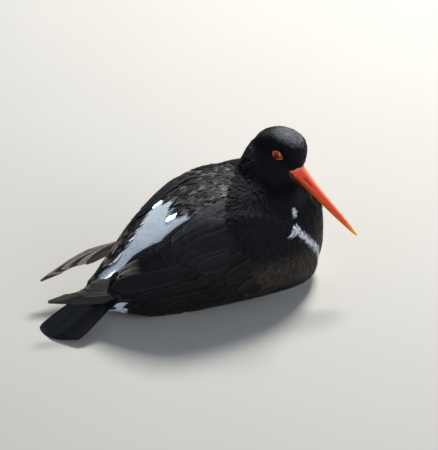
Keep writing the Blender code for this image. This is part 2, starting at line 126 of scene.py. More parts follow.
def cloudy(tree, place, scale, detail, rough=0.5):
    """A soft random pattern."""
    inputs = {"Vector": place, "Scale": scale, "Detail": detail, "Roughness": rough}
    return add_node(tree, "ShaderNodeTexNoise", inputs).outputs["Fac"]


def stretched(tree, pattern, low, high, start=0.0, end=1.0):
    """A pattern whose values from start to end are made to run from low to high."""
    inputs = {"Value": pattern, "From Min": start, "From Max": end, "To Min": low, "To Max": high}
    return add_node(tree, "ShaderNodeMapRange", inputs).outputs["Result"]


def toned(tree, colour, tone):
    """A colour made lighter and darker by a tone."""
    inputs = {"Factor": 1.0, "A": colour, "B": tone}
    node = add_node(tree, "ShaderNodeMix", inputs, data_type="RGBA", blend_type="MULTIPLY")
    return node.outputs["Result"]


def fine_relief(tree, shader, pattern, strength, depth):
    bump = add_node(tree, "ShaderNodeBump", {"Strength": strength, "Distance": depth, "Height": pattern})
    feed(tree, shader.inputs["Normal"], bump.outputs["Normal"])


def add_object(name, mesh, *materials):
    piece = bpy.data.objects.new(name, mesh)
    for one in materials:
        mesh.materials.append(one)
    bpy.context.scene.collection.objects.link(piece)
    return piece


def mesh_from(name, bm):
    mesh = bpy.data.meshes.new(name)
    bm.to_mesh(mesh)
    bm.free()
    return mesh


bm = bmesh.new()
bmesh.ops.create_grid(bm, x_segments=1, y_segments=1, size=FLOOR_SIZE / 2)
floor_paint, tree, shader = new_material("floor_paint", FLOOR_COLOUR, 0.9)
mottle = stretched(tree, cloudy(tree, object_place(tree), 6.0, 4.0), *FLOOR_MOTTLE)
feed(tree, shader.inputs["Base Color"], toned(tree, (*FLOOR_COLOUR, 1.0), mottle))
floor = add_object("floor", mesh_from("floor", bm), floor_paint)

# The light is one soft lamp high up, ahead of the bird and to its left, a broad weaker
# one low on its right, and a pale blue sky all round.
KEY_FROM = Vector((0.60, 0.52, 0.95))
KEY_DISTANCE = 1.6
KEY_SIZE = 0.40
KEY_POWER = 46.0
KEY_COLOUR = (1.0, 0.965, 0.91)
FILL_FROM = Vector((0.45, -0.95, 0.40))
FILL_DISTANCE = 2.0
FILL_SIZE = 1.6
FILL_POWER = 19.0
FILL_COLOUR = (1.0, 0.97, 0.93)
LAMPS_AIM = (0, 0, 40)
SKY_COLOUR = (0.60, 0.78, 1.0)
SKY_STRENGTH = 0.34


def hang_lamp(name, direction, distance, size, power, colour):
    lamp = bpy.data.lights.new(name, "AREA")
    lamp.size = size
    lamp.energy = power
    lamp.color = colour
    hung = bpy.data.objects.new(name, lamp)
    hung.location = bird(*LAMPS_AIM) + direction.normalized() * distance
    hung.rotation_euler = direction.to_track_quat("Z", "Y").to_euler()
    bpy.context.scene.collection.objects.link(hung)


hang_lamp("key_lamp", KEY_FROM, KEY_DISTANCE, KEY_SIZE, KEY_POWER, KEY_COLOUR)
hang_lamp("fill_lamp", FILL_FROM, FILL_DISTANCE, FILL_SIZE, FILL_POWER, FILL_COLOUR)
bpy.context.scene.view_settings.view_transform = "Standard"
sky = bpy.data.worlds.new("sky")
sky.use_nodes = True
sky.node_tree.nodes["Background"].inputs["Color"].default_value = (*SKY_COLOUR, 1.0)
sky.node_tree.nodes["Background"].inputs["Strength"].default_value = SKY_STRENGTH
bpy.context.scene.world = sky

# The skin is one piece over trunk, neck, head and the folded wings. It is grown from
# their solids, smoothed so that no seam shows, and drawn in by the depth of the coat.
# It is as dark as the feathers over it, and white where they are white.
SKIN_NODES = ("trunk", "neck", "head", "wing_right", "wing_left")
SWELL = 0.4 * MM  # closes the thin cuts between the solids
SKIN_STEP = 2.0 * MM
SKIN_SMOOTHING = 5
SKIN_FLOOR = 0.0004  # the skin comes no lower
HEAD_COAT_DEPTH = 1.0
NECK_COAT_DEPTH = 1.7
BODY_COAT_DEPTH = 2.3
HEAD_TO_NECK = (20, 34)  # from the middle of the head, where the coat deepens
NECK_TO_BODY = (34, 70)
HEAD_TURN = math.radians(-51)
HEAD_DIP = math.radians(-41)
HEAD_ROLL = math.radians(7)
BILL_ROOT = Vector((86.0, -14.5, 111.0))
HALF_HEAD = 26.0
EYE_AT = Vector((-25.2, 6.4, 15.8))
EYE_LEAN_FORWARD = math.radians(12)
EYE_LEAN_UP = math.radians(6)
SOCKET_RADIUS = 8.2 * MM  # the flesh that fills the hole in the head's solid behind each eye
SOCKET_SHAPE = (1.05, 0.95, 0.45)
SOCKET_SINK = 3.6
HEAD_AHEAD = Vector((
    math.cos(HEAD_DIP) * math.cos(HEAD_TURN),
    math.cos(HEAD_DIP) * math.sin(HEAD_TURN),
    math.sin(HEAD_DIP),
))
level_right = Vector((math.sin(HEAD_TURN), -math.cos(HEAD_TURN), 0))
level_up = level_right.cross(HEAD_AHEAD)
HEAD_RIGHT = math.cos(HEAD_ROLL) * level_right + math.sin(HEAD_ROLL) * level_up
HEAD_UP = math.cos(HEAD_ROLL) * level_up - math.sin(HEAD_ROLL) * level_right
HEAD_MIDDLE = BILL_ROOT - HALF_HEAD * HEAD_AHEAD

# Edges of the white: the rump from its lower end up to the mantle (x, right edge, left
# edge), the mantle's ragged lower edge over it (y, x), the line of white that shows
# above the bend of each wing, and one stray spot on the right of the breast.
RUMP_EDGES = (
    (-106, -1.0, 3.0), (-99, -4.5, 4.5), (-84, -10.5, 4.0), (-75, -13.5, 5.5), (-64, -17.0, 9.0),
    (-50, -22.0, 16.0), (-41, -26.0, 22.0), (-28, -27.0, 23.0), (-17, -27.0, 20.0),
)
MANTLE_EDGE = (
    (-26, -12), (-21, -18), (-16, -22), (-10, -29), (-5, -35), (0, -28), (5, -22), (12, -24),
    (20, -29), (26, -41),
)
BREAST_LINE = (
    Vector((63, 53, 72)), Vector((68, 50, 76)), Vector((71, 51, 71)), Vector((80, 50, 59)),
    Vector((89, 45, 47)), Vector((96, 38, 33)), Vector((99, 35, 23)),
)
RUMP_FRONT = -8
RUMP_END = -108
RUMP_FACES_UP = 0.1
BREAST_LINE_HALF = 2.8
BREAST_WHITE_FROM = 55
STRAY_SPOT = (Vector((68.7, -41.4, 90.6)), Vector((68.4, -43.7, 86.0)))
STRAY_SPOT_HALF = 1.9
BELLY_HEIGHT = 3.0
BREAST_HEIGHT = 26.0
BREAST_START = 95.0
VENT_START = -88.0
VENT_HEIGHT = 20.5
VENT_SLOPE = 0.35
VENT_FACES = 0.5  # the vent's white is only on what faces down or aside
CROWN_HEIGHT = (18.0, 25.5)  # over the bill, where the crown turns grey with a painted sheen
CROWN_SLOPE = 0.45
CROWN_BACK = 24
CROWN_REACH = 28.0
# Where the lower flank is painted paler and browner, a painted highlight for the light that falls there.
FLANK_TOP = (58, 38)
FLANK_FOOT = (8, 22)
FLANK_BACK = (-10, 25)
NAPE_SOFTNESS = (-1, 5)
NAPE_EDGE = (
    (-52, 4), (-45, 8), (-29, 13), (-26, 16), (-8, 29), (8, 41), (20, 36), (30, 24), (45, 8),
)

# The blue in BLACK and WHITE is painted shade: the cast of blue sky light on black and white plumage.
BLACK = Vector((0.0036, 0.0042, 0.0064))
BROWN_BLACK = Vector((0.0086, 0.0074, 0.0074))
FLANK_PAINTED_HIGHLIGHT = Vector((0.0300, 0.0250, 0.0215))
WHITE = Vector((0.53, 0.585, 0.66))
# the grey of the crown's top is a painted sheen, for light glancing off it
CROWN_PAINTED_SHEEN = Vector((0.110, 0.118, 0.135))
SKIN_DARKER = (0.7, 0.8)  # the skin under dark feathers and under white ones


def in_head(ahead, up, right):
    return BILL_ROOT + ahead * HEAD_AHEAD + up * HEAD_UP + right * HEAD_RIGHT


def eye_axes(side):
    """Middle of the eye's ring, its outward axis and its long axis. Side is 1 on the right."""
    out = side * HEAD_RIGHT * math.cos(EYE_LEAN_FORWARD)
    out = out + HEAD_AHEAD * math.sin(EYE_LEAN_FORWARD) + HEAD_UP * math.sin(EYE_LEAN_UP)
    out.normalize()
    long_axis = (HEAD_AHEAD - out * HEAD_AHEAD.dot(out)).normalized()
    return in_head(EYE_AT.x, EYE_AT.y, side * EYE_AT.z), out, long_axis


def curve(rows, where, column=1):
    """The value at a place along rows of numbers."""
    ordered = sorted(rows)
    return float(np.interp(where, [r[0] for r in ordered], [r[column] for r in ordered]))


def ease(low, high, value):
    """0 at low and 1 at high, or beyond them, with a soft start and end."""
    share = min(1.0, max(0.0, (value - low) / (high - low)))
    return share * share * (3 - 2 * share)


def gap_to_line(point, line):
    """Distance from a point to a line of several stretches."""
    best = 1e9
    for start, end in zip(line[:-1], line[1:]):
        along = end - start
        share = min(1.0, max(0.0, (point - start).dot(along) / along.length_squared))
        best = min(best, (point - start - along * share).length)
    return best


def whiteness(p, n):
    """Above 0 where the plumage is white, in millimetres from the edge of the white."""
    white = BELLY_HEIGHT - p.z
    if n.z > RUMP_FACES_UP and p.x < RUMP_FRONT:
        right, left = curve(RUMP_EDGES, p.x, 1), curve(RUMP_EDGES, p.x, 2)
        rump = min(p.y - right, left - p.y, curve(MANTLE_EDGE, p.y) - p.x, p.x - RUMP_END)
        white = max(white, rump)
    if p.x > BREAST_WHITE_FROM:
        mirrored = Vector((p.x, abs(p.y), p.z))
        white = max(white, BREAST_LINE_HALF - gap_to_line(mirrored, BREAST_LINE))
        white = max(white, STRAY_SPOT_HALF - gap_to_line(p, STRAY_SPOT))
        white = max(white, min(BREAST_HEIGHT - p.z, p.x - BREAST_START))
    if p.x < VENT_START and n.z < VENT_FACES:
        drop = VENT_SLOPE * (VENT_START - p.x)
        white = max(white, min(VENT_HEIGHT - drop - p.z, VENT_START - p.x))
    return white


def dark_colour(p):
    """Black on head, neck and breast, brown-black behind the shoulders, grey on the top of the crown as a
    painted sheen, and paler low down as a painted highlight.
    """
    behind = ease(*NAPE_SOFTNESS, curve(NAPE_EDGE, p.y) - p.x)
    colour = BLACK.lerp(BROWN_BLACK, behind)
    from_bill = p - BILL_ROOT
    crown = from_bill.dot(HEAD_UP) - CROWN_SLOPE * (from_bill.dot(HEAD_AHEAD) + CROWN_BACK)
    # Painted sheen: the top of the crown is turned grey for light glancing off it.
    if crown > CROWN_HEIGHT[0] and (p - HEAD_MIDDLE).length < CROWN_REACH:
        colour = colour.lerp(CROWN_PAINTED_SHEEN, ease(*CROWN_HEIGHT, crown))
    # Painted highlight: the lower flank is painted paler and browner.
    low = ease(*FLANK_TOP, p.z) * ease(*FLANK_FOOT, p.z) * ease(*FLANK_BACK, p.x)
    return colour.lerp(FLANK_PAINTED_HIGHLIGHT, low)


def coat_depth(p):
    """How far the coat stands over the skin."""
    from_head = (p - HEAD_MIDDLE).length
    depth = HEAD_COAT_DEPTH + (NECK_COAT_DEPTH - HEAD_COAT_DEPTH) * ease(*HEAD_TO_NECK, from_head)
    return depth + (BODY_COAT_DEPTH - NECK_COAT_DEPTH) * ease(*NECK_TO_BODY, from_head)


def largest_island(bm):
    """Deletes all but the largest connected part."""
    left = set(bm.verts)
    islands = []
    while left:
        front = [left.pop()]
        island = [front[0]]
        while front:
            vert = front.pop()
            for edge in vert.link_edges:
                other = edge.other_vert(vert)
                if other in left:
                    left.remove(other)
                    island.append(other)
                    front.append(other)
        islands.append(island)
    islands.sort(key=len, reverse=True)
    spare = [vert for island in islands[1:] for vert in island]
    bmesh.ops.delete(bm, geom=spare, context="VERTS")


def smooth_once(bm):
    bmesh.ops.smooth_vert(
        bm, verts=bm.verts, factor=0.5, use_axis_x=True, use_axis_y=True, use_axis_z=True
    )


flesh = bmesh.new()
for node in SKIN_NODES:
    part = bmesh.new()
    part.from_mesh(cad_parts[node].data)
    bmesh.ops.remove_doubles(part, verts=part.verts, dist=TOUCHING)
    part.normal_update()
    for vert in part.verts:
        vert.co += vert.normal * SWELL
    spare_mesh = mesh_from("part", part)
    flesh.from_mesh(spare_mesh)
    bpy.data.meshes.remove(spare_mesh)
for side in (1, -1):
    middle, out, long_axis = eye_axes(side)
    plug = bmesh.ops.create_uvsphere(flesh, u_segments=16, v_segments=10, radius=SOCKET_RADIUS)
    turn = Matrix((long_axis, out.cross(long_axis), out)).transposed().to_4x4()
    bmesh.ops.scale(flesh, vec=SOCKET_SHAPE, verts=plug["verts"])
    bmesh.ops.transform(flesh, matrix=turn, verts=plug["verts"])
    place = middle - out * SOCKET_SINK
    bmesh.ops.translate(flesh, vec=bird(*place), verts=plug["verts"])
rough_skin = add_object("rough_skin", mesh_from("rough_skin", flesh))
remesh = rough_skin.modifiers.new("one_piece", "REMESH")
remesh.mode = "VOXEL"
remesh.voxel_size = SKIN_STEP
bpy.context.view_layer.update()
whole = rough_skin.evaluated_get(bpy.context.evaluated_depsgraph_get())
bm = bmesh.new()
bm.from_mesh(whole.to_mesh())
whole.to_mesh_clear()
bpy.data.objects.remove(rough_skin)
largest_island(bm)
for _ in range(SKIN_SMOOTHING):
    smooth_once(bm)
bm.normal_update()
drawn_in = [vert.co - vert.normal * coat_depth(to_bird(vert.co)) * MM for vert in bm.verts]
for vert, place in zip(bm.verts, drawn_in):
    vert.co = place
smooth_once(bm)
for vert in bm.verts:
    vert.co.z = max(vert.co.z, SKIN_FLOOR)
bm.normal_update()
bm.faces.ensure_lookup_table()
skin_tree = BVHTree.FromBMesh(bm)
soft_normals = [sum((v.normal for v in f.verts), Vector()).normalized() for f in bm.faces]
skin_faces = [[v.co.copy() for v in f.verts] for f in bm.faces]
skin_tints = []
for vert in bm.verts:
    p = to_bird(vert.co)
    colour = dark_colour(p) * SKIN_DARKER[0]
    if whiteness(p, vert.normal) > 0:
        colour = WHITE * SKIN_DARKER[1]
    skin_tints.append((*colour, 1.0))
skin_mesh = mesh_from("skin", bm)
skin_mesh.shade_smooth()
layer = skin_mesh.color_attributes.new("Tint", "FLOAT_COLOR", "POINT")
layer.data.foreach_set("color", np.array(skin_tints, np.float32).ravel())

skin_look, tree, shader = new_material("skin_under_feathers", tuple(BLACK), 0.7)
tint = add_node(tree, "ShaderNodeVertexColor", layer_name="Tint")
feed(tree, shader.inputs["Base Color"], tint.outputs["Color"])
fine_relief(tree, shader, cloudy(tree, object_place(tree), 900.0, 3.0), 0.5, 0.0004)
skin = add_object("skin", skin_mesh, skin_look)
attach(skin, "root")
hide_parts(*SKIN_NODES)


def touch(point):
    """The nearest place on the skin, and the way out of it."""
    found, _, index, _ = skin_tree.find_nearest(point)
    return found, soft_normals[index]


# The small feathers lie over the whole skin like shingles: tiny on the face, longer
# down the neck and longest on back, flanks and wings. Each is a thin closed vane that
# follows the skin under it and rises from its root to its tip.
FEATHER_ROWS = (0.0, 0.3, 0.6, 0.85, 1.0)  # share of the length
FEATHER_PROFILE = (0.40, 0.86, 1.0, 0.84, 0.46)
TINY_ROWS = (0.0, 0.4, 0.8, 1.0)
TINY_PROFILE = (0.5, 1.0, 0.85, 0.40)
TINY_BELOW = 6.5  # feathers shorter than this are made with fewer faces
SHORTEST = 2.3
LONGEST = 15.5
LENGTHENING = 0.105  # for each millimetre away from the bill
SPACING = 0.26  # of a feather's length
WHITE_SPACING = 0.8  # white feathers are set this much closer
CANDIDATES = 6.3  # places tried for each feather that finds room
COAT_SEED = 11
HEADING_SPREAD = 0.12
LIFT_SPREAD = (-0.12, 0.2)
NECK_LIFT_SPREAD = (-0.06, 0.08)
LENGTH_SPREAD = (0.85, 1.15)
WIDTH_SHARE = (0.50, 0.62)  # of its length
NEAREST_EYE = (2.4, 0.22, 6)  # length at the eye's edge, growth away from it, and that edge
TIP_THINNING = 0.7  # share of its thickness that a vane loses towards its tip
LEAST_THICKNESS = 0.1 * MM
VANE_FLOOR = 0.3 * MM  # no vane comes lower
TINY_THICKNESS = 0.08 * MM
SMALL_THICKNESS = 0.10 * MM
ROOT_LIFT = 0.5  # root over the skin, as a share of the coat's depth
TINY_RISE = 0.75  # tip over the root, as a share of the coat's depth
FLAT_RISE = 0.25  # white feathers and those of the neck
RISE = 0.45
CAMBER = 0.004  # of the length
TILT = 0.002
TIP_ROUNDNESS = 0.20
TIP_FRAY = 0.05
NECK_ABOVE = 80
NECK_STEP = 1.6  # the neck's lowest feathers stand out over the mantle
NECK_STEP_WIDTH = 24.0
NECK_STEP_ABOVE = 86
FACES_UP = 0.2
MANTLE_LENGTHENING = 1.4
MANTLE_NARROWING = 0.9
MANTLE_LOOSENESS = 0.6
WHITE_LENGTHENING = 1.35
MANTLE_PAINTED_GLINT = 22.0  # painted highlight: how much paler the tips of some mantle feathers are painted, for glints of light on them
MANTLE_TONE = 0.4
TIP_HIGHLIGHT = (0.92, 0.16)  # tone at the root, and what the tip adds as a painted highlight
WHITE_SPREAD = (0.98, 1.0)
DARK_SPREAD = (0.75, 1.25)
COLOUR_AT = 0.6  # share of a feather's length where its colour is read
EDGE_FRAY = 1.3
NEAR_MARK = 14  # this close to an edge of white, feathers are coloured corner by corner
BREAST_FRAY = 1.6
RUMP_FRAY = 4.0
RUMP_FRAY_FADES = (-60, -30)
RUMP_MARK_BEHIND = -20
NECK_PIECE_ABOVE = 60
BELLY_FACES_DOWN = -0.6
WING_PIECE_OUTSIDE = 27
TAIL_BASE_FROM = -40  # behind this the wing pieces begin nearer the middle
TAIL_BASE_HALF = 8
EYE_CLEAR = (6.2, 4.7)  # half length and half height of the bare place round the eye
EYE_NEAR = 9
FACE_EDGE = (  # (height over the bill's middle, how far ahead the feathers reach)
    (-9, 5.0), (-6, 5.0), (-4.7, 4.7), (-4.0, -3.0), (-3.2, -8.5), (1.4, -8.0), (2.6, -4.2), (3.8, -3.0),
    (7.0, -0.6), (9.5, -1.4), (14, -1.0),
)
FACE_HALF = 11.0  # the bill is looked for within this distance of its own axis
BAKE_PATCH = 0.003
BAKE_MARGIN = 0.015
BAKE_REACH = 0.965
UNDERSIDE_PATCH = 0.86  # a vane's underside lies just inside its upper side's patch
VANE_EDGE_ANGLE = math.radians(50)
OVER_HEAD_SPREAD = 0.35  # how far the head's feathers fan out round the bill
DOWN_NECK = Vector((-0.28, 0.0, -1.0))
TAILWARD_DIP = (-0.12, -1.1)  # slope of the feathers on the back, and what the breast adds
BREAST_TURN = (62, 104)  # where along the bird the breast's feathers turn down
HEAD_TURNS = (19, 31)  # from the middle of the head, where its feathers join the neck's
NECK_HEIGHT = (52, 98)
NECK_LENGTH = (10, 52)
WING_COVERED = (-92, -6)  # the stretch of the wing that the long feathers hide
WING_COVERED_HEIGHT = (22, 88)
SPINE = (
    Vector((92, -20, 104)), Vector((72, 0, 126)), Vector((66, 0, 100)), Vector((45, 0, 60)),
    Vector((-20, 0, 52)), Vector((-118, -3, 22)),
)


def leaf_template(columns, rows):
    """The faces of a thin closed leaf, and the (row, column, side) of each of its corners."""
    bm = bmesh.new()
    bmesh.ops.create_grid(bm, x_segments=columns, y_segments=rows, size=1)
    bmesh.ops.solidify(bm, geom=bm.faces[:], thickness=0.1)
    bmesh.ops.recalc_face_normals(bm, faces=bm.faces)
    top = max(vert.co.z for vert in bm.verts)
    keys = []
    for vert in bm.verts:
        column = round((vert.co.x + 1) / 2 * columns)
        row = round((vert.co.y + 1) / 2 * rows)
        keys.append((row, column, 1 if abs(vert.co.z - top) < 1e-4 else 0))
    faces = [[vert.index for vert in face.verts] for face in bm.faces]
    bm.free()
    return np.array(keys), np.array(faces)


def flow(p, n):
    """The way the feathers point: away from the bill, down the neck, then to the tail."""
    from_bill = p - BILL_ROOT
    off_axis = from_bill - HEAD_AHEAD * from_bill.dot(HEAD_AHEAD)
    over_head = -HEAD_AHEAD + off_axis.normalized() * OVER_HEAD_SPREAD
    dip = TAILWARD_DIP[0] + TAILWARD_DIP[1] * ease(*BREAST_TURN, p.x)
    to_tail = Vector((-1.0, 0.0, dip))
    on_head = 1 - ease(*HEAD_TURNS, (p - HEAD_MIDDLE).length)
    on_neck = ease(*NECK_HEIGHT, p.z) * ease(*NECK_LENGTH, p.x)
    way = to_tail.lerp(DOWN_NECK, on_neck).lerp(over_head, on_head)
    way = way - n * way.dot(n)
    return way.normalized()


def feather_length(p):
    length = min(LONGEST, SHORTEST + LENGTHENING * (p - BILL_ROOT).length)
    for side in (1, -1):
        to_eye = (p - eye_middles[side]).length
        shortest, growth, edge = NEAREST_EYE
        length = min(length, shortest + growth * max(0.0, to_eye - edge))
    return length


def over_eye(p):
    """Whether a place lies on the bare ring of either eye."""
    for side in (1, -1):
        middle, out, long_axis = eye_frames[side]
        away = p - middle
        if abs(away.dot(out)) < EYE_NEAR:
            short_axis = out.cross(long_axis)
            x, y = away.dot(long_axis) / EYE_CLEAR[0], away.dot(short_axis) / EYE_CLEAR[1]
            if x * x + y * y < 1:
                return True
    return False


def on_bill(p):
    """Whether a place lies on the bill rather than on the face."""
    away = p - BILL_ROOT
    ahead, up, right = (away.dot(axis) for axis in (HEAD_AHEAD, HEAD_UP, HEAD_RIGHT))
    return math.hypot(up - 1, right) < FACE_HALF and ahead > curve(FACE_EDGE, up)


def under_wing_feathers(p):
    """Whether a place is wholly hidden by the long feathers of a folded wing."""
    if not WING_COVERED[0] < p.x < WING_COVERED[1] or p.z < WING_COVERED_HEIGHT[0]:
        return False
    inner = -curve(RUMP_EDGES, p.x, 1) if p.y < 0 else curve(RUMP_EDGES, p.x, 2)
    return abs(p.y) > max(inner, 9) + (3 if p.y < 0 else 9) and p.z < WING_COVERED_HEIGHT[1]


def bake_place(p):
    """Where a root lies on an unwrap of the skin: along the bird's spine, and round it."""
    best = (1e9, 0.0, None, None)
    run = 0.0
    for start, end in zip(SPINE[:-1], SPINE[1:]):
        along = end - start
        share = min(1.0, max(0.0, (p - start).dot(along) / along.length_squared))
        foot = start + along * share
        if (p - foot).length < best[0]:
            best = ((p - foot).length, run + along.length * share, foot, along.normalized())
        run += along.length
    _, station, foot, along = best
    back = Vector((-0.3, 0, 1.0))
    back = (back - along * back.dot(along)).normalized()
    right = along.cross(back)
    away = p - foot
    return station, math.atan2(away.dot(right), away.dot(back)) / (2 * math.pi) + 0.5


def lay_feather(rows, profile, columns, root, heading, plume, rng):
    """Rows of one vane laid along the skin: place, way out, share across and share along."""
    grid = []
    here, out = touch(root)
    ahead = heading
    rag = [rng.uniform(-TIP_FRAY, TIP_FRAY) for _ in range(columns + 1)]
    for index, share in enumerate(rows):
        if index:
            step = plume["length"] * (share - rows[index - 1])
            there, out = touch(here + ahead * step)
            ahead = (there - here).normalized() if (there - here).length > 1e-9 else ahead
            here = there
        ahead = (ahead - out * ahead.dot(out)).normalized()
        across = ahead.cross(out)
        line = []
        for column in range(columns + 1):
            x = 2 * column / columns - 1
            back = plume["length"] * (TIP_ROUNDNESS * x * x - rag[column]) * share ** 3
            offset = across * plume["width"] / 2 * profile[index] * x - ahead * back
            place, way = touch(here + offset)
            height = plume["root_lift"] + plume["rise"] * share ** 0.8
            height = height + plume["camber"] * (1 - x * x) * profile[index] + plume["tilt"] * x
            line.append((place + way * height, way, x * profile[index], share))
        grid.append(line)
    return grid


def corners_of(grid, keys, thickness):
    """Corner places of a laid vane, in the order of its template."""
    places = []
    for row, column, side in keys:
        place, way, _, _ = grid[row][column]
        thin = 1 - TIP_THINNING * grid[row][column][3] ** 3
        place = place + way * (thickness * thin if side else 0.0)
        if place.z < VANE_FLOOR:
            place = Vector((place.x, place.y, VANE_FLOOR + (LEAST_THICKNESS if side else 0.0)))
        places.append(place)
    return places


def feather_piece(name, template, laid, look, bake=True):
    """One object from many laid vanes, with their tints, their map Vane and, when bake is set, their map
    OFBake.
    """
    keys, faces = template
    count = len(laid)
    places = np.array([c for one in laid for c in one["corners"]], np.float32)
    shift = np.arange(count)[:, None, None] * len(keys)
    mesh = bpy.data.meshes.new(name)
    mesh.from_pydata(places.reshape(-1, 3), [], (faces[None] + shift).reshape(-1, faces.shape[1]))
    mesh.shade_smooth()
    mesh.set_sharp_from_angle(angle=VANE_EDGE_ANGLE)
    tints = np.array([one["tints"] for one in laid], np.float32)
    layer = mesh.color_attributes.new("Tint", "FLOAT_COLOR", "POINT")
    layer.data.foreach_set("color", tints.ravel())
    vane = np.array([one["vane"] for one in laid], np.float32)
    on_loops = vane[:, faces.ravel()].reshape(-1)
    if bake:
        roots = np.array([bake_place(one["root"]) for one in laid])
        low, high = roots.min(0), roots.max(0)
        roots = BAKE_MARGIN + BAKE_REACH * (roots - low) / (high - low)
        rows, columns = keys[:, 0].max(), keys[:, 1].max()
        patch = np.stack([keys[:, 1] / columns, keys[:, 0] / rows], 1)
        patch = 0.5 + (patch - 0.5) * np.where(keys[:, 2:] == 1, 1.0, UNDERSIDE_PATCH)
        spots = roots[:, None, :] + (patch[None] - 0.5) * BAKE_PATCH
        bake_map = mesh.uv_layers.new(name="OFBake")
        spots = spots[:, faces.ravel()].reshape(-1)
        bake_map.data.foreach_set("uv", spots.astype(np.float32))
    vane_map = mesh.uv_layers.new(name="Vane")
    vane_map.data.foreach_set("uv", on_loops)
    piece = add_object(name, mesh, look)
    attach(piece, "root")
    return piece


BARB_SLANT = 1.1  # towards the tip for each step away from the shaft
STREAKS = (16.0, 4.0)  # for each centimetre, along the vane and across it
MARK_APART = 37.0  # sets each feather's streaks apart from the next one's
SHAFT_HALF = 0.035
BARB_HEIGHT = 0.25
STREAK_VALUES = (0.3, 0.7)
GLOSS_SPREAD = 0.1
BARB_STRENGTH = 0.6
SHEEN_WEIGHT = 0.02
SHEEN_ROUGHNESS = 0.4


def work_out(tree, operation, *values):
    """A sum on numbers and on the outputs of other nodes."""
    return add_node(tree, "ShaderNodeMath", dict(enumerate(values)), operation=operation).outputs[0]


def make_barbs():
    """Fine barbs that slant away from the shaft, from the map Vane in centimetres."""
    group = bpy.data.node_groups.new("barbs", "ShaderNodeTree")
    for name, way in (("Fineness", "INPUT"), ("Streak", "OUTPUT"), ("Height", "OUTPUT")):
        group.interface.new_socket(name, in_out=way, socket_type="NodeSocketFloat")
    fineness = group.nodes.new("NodeGroupInput").outputs["Fineness"]
    vane = add_node(group, "ShaderNodeUVMap", uv_map="Vane").outputs["UV"]
    parts = add_node(group, "ShaderNodeSeparateXYZ", {"Vector": vane})
    mark = add_node(group, "ShaderNodeVertexColor", layer_name="Tint").outputs["Alpha"]
    side = work_out(group, "ABSOLUTE", parts.outputs["X"])
    slant = work_out(group, "MULTIPLY_ADD", side, -BARB_SLANT, parts.outputs["Y"])
    wave = work_out(group, "SINE", work_out(group, "MULTIPLY", slant, fineness))
    along = work_out(group, "MULTIPLY", slant, STREAKS[0])
    spot = add_node(group, "ShaderNodeCombineXYZ", {
        "X": work_out(group, "MULTIPLY_ADD", mark, MARK_APART, along),
        "Y": work_out(group, "MULTIPLY", side, STREAKS[1]),
        "Z": mark,
    })
    streak = cloudy(group, spot.outputs[0], 1.0, 3.0)
    shaft = stretched(group, side, 1.0, 0.0, 0.0, SHAFT_HALF)
    height = work_out(group, "MULTIPLY_ADD", wave, BARB_HEIGHT, streak)
    result = group.nodes.new("NodeGroupOutput")
    feed(group, result.inputs["Streak"], streak)
    feed(group, result.inputs["Height"], work_out(group, "ADD", height, shaft))
    return group


barbs = make_barbs()


def feather_look(name, fineness, barb_depth, roughness, gleam, sheen_colour, mottling):
    """A feather's finish: its tint broken by streaks along the barbs, and a soft gloss."""
    look, tree, shader = new_material(name, tuple(BLACK), roughness)
    tint = add_node(tree, "ShaderNodeVertexColor", layer_name="Tint").outputs["Color"]
    fine = add_node(tree, "ShaderNodeGroup", {"Fineness": fineness}, node_tree=barbs)
    streak = fine.outputs["Streak"]
    tone = stretched(tree, streak, 1 - mottling, 1 + mottling, *STREAK_VALUES)
    gloss = stretched(tree, streak, roughness - GLOSS_SPREAD, roughness + GLOSS_SPREAD, *STREAK_VALUES)
    feed(tree, shader.inputs["Base Color"], toned(tree, tint, tone))
    feed(tree, shader.inputs["Roughness"], gloss)
    fine_relief(tree, shader, fine.outputs["Height"], BARB_STRENGTH, barb_depth)
    shader.inputs["Specular IOR Level"].default_value = gleam
    shader.inputs["Sheen Weight"].default_value = SHEEN_WEIGHT
    shader.inputs["Sheen Roughness"].default_value = SHEEN_ROUGHNESS
    shader.inputs["Sheen Tint"].default_value = (*sheen_colour, 1.0)
    return look


# (name, barbs, their depth, roughness, gleam, sheen, how mottled)
black_look = feather_look("black_feather", 120.0, 0.00028, 0.50, 0.10, (0.75, 0.85, 1.0), 0.70)
brown_look = feather_look("brown_black_feather", 90.0, 0.00022, 0.50, 0.22, (1.0, 0.9, 0.8), 0.55)
white_look = feather_look("white_feather", 90.0, 0.00014, 0.75, 0.30, (1.0, 1.0, 1.0), 0.05)

eye_frames = {side: eye_axes(side) for side in (1, -1)}
eye_middles = {side: eye_frames[side][0] for side in (1, -1)}
tiny_leaf = leaf_template(2, 3)
small_leaf = leaf_template(4, 4)

rng = random.Random(COAT_SEED)
draw = np.random.default_rng(COAT_SEED)
middles = [sum(face, Vector()) / len(face) for face in skin_faces]
areas = []
for face in skin_faces:
    first = (face[1] - face[0]).cross(face[2] - face[0]).length / 2
    second = (face[2] - face[0]).cross(face[-1] - face[0]).length / 2
    areas.append(first + second)
lengths = np.array([feather_length(to_bird(middle)) for middle in middles])
weights = np.array(areas) / (lengths * MM * SPACING) ** 2
tries = int(CANDIDATES * weights.sum())
picks = draw.choice(len(middles), size=tries, p=weights / weights.sum())
spots = []
for pick in picks:
    face = skin_faces[pick]
    a, b = rng.random(), rng.random()
    near = face[0].lerp(face[1], a)
    far = face[-1].lerp(face[2] if len(face) > 3 else face[-1], a)
    spots.append((near.lerp(far, b), pick))
room = kdtree.KDTree(len(spots))
for index, (spot, _) in enumerate(spots):
    room.insert(spot, index)
room.balance()
taken = np.zeros(len(spots), bool)
laid = {"coat_head": [], "coat_neck": [], "coat_back": [], "coat_rump": [], "coat_breast": [],
        "coat_belly": [], "coat_wing_right": [], "coat_wing_left": []}
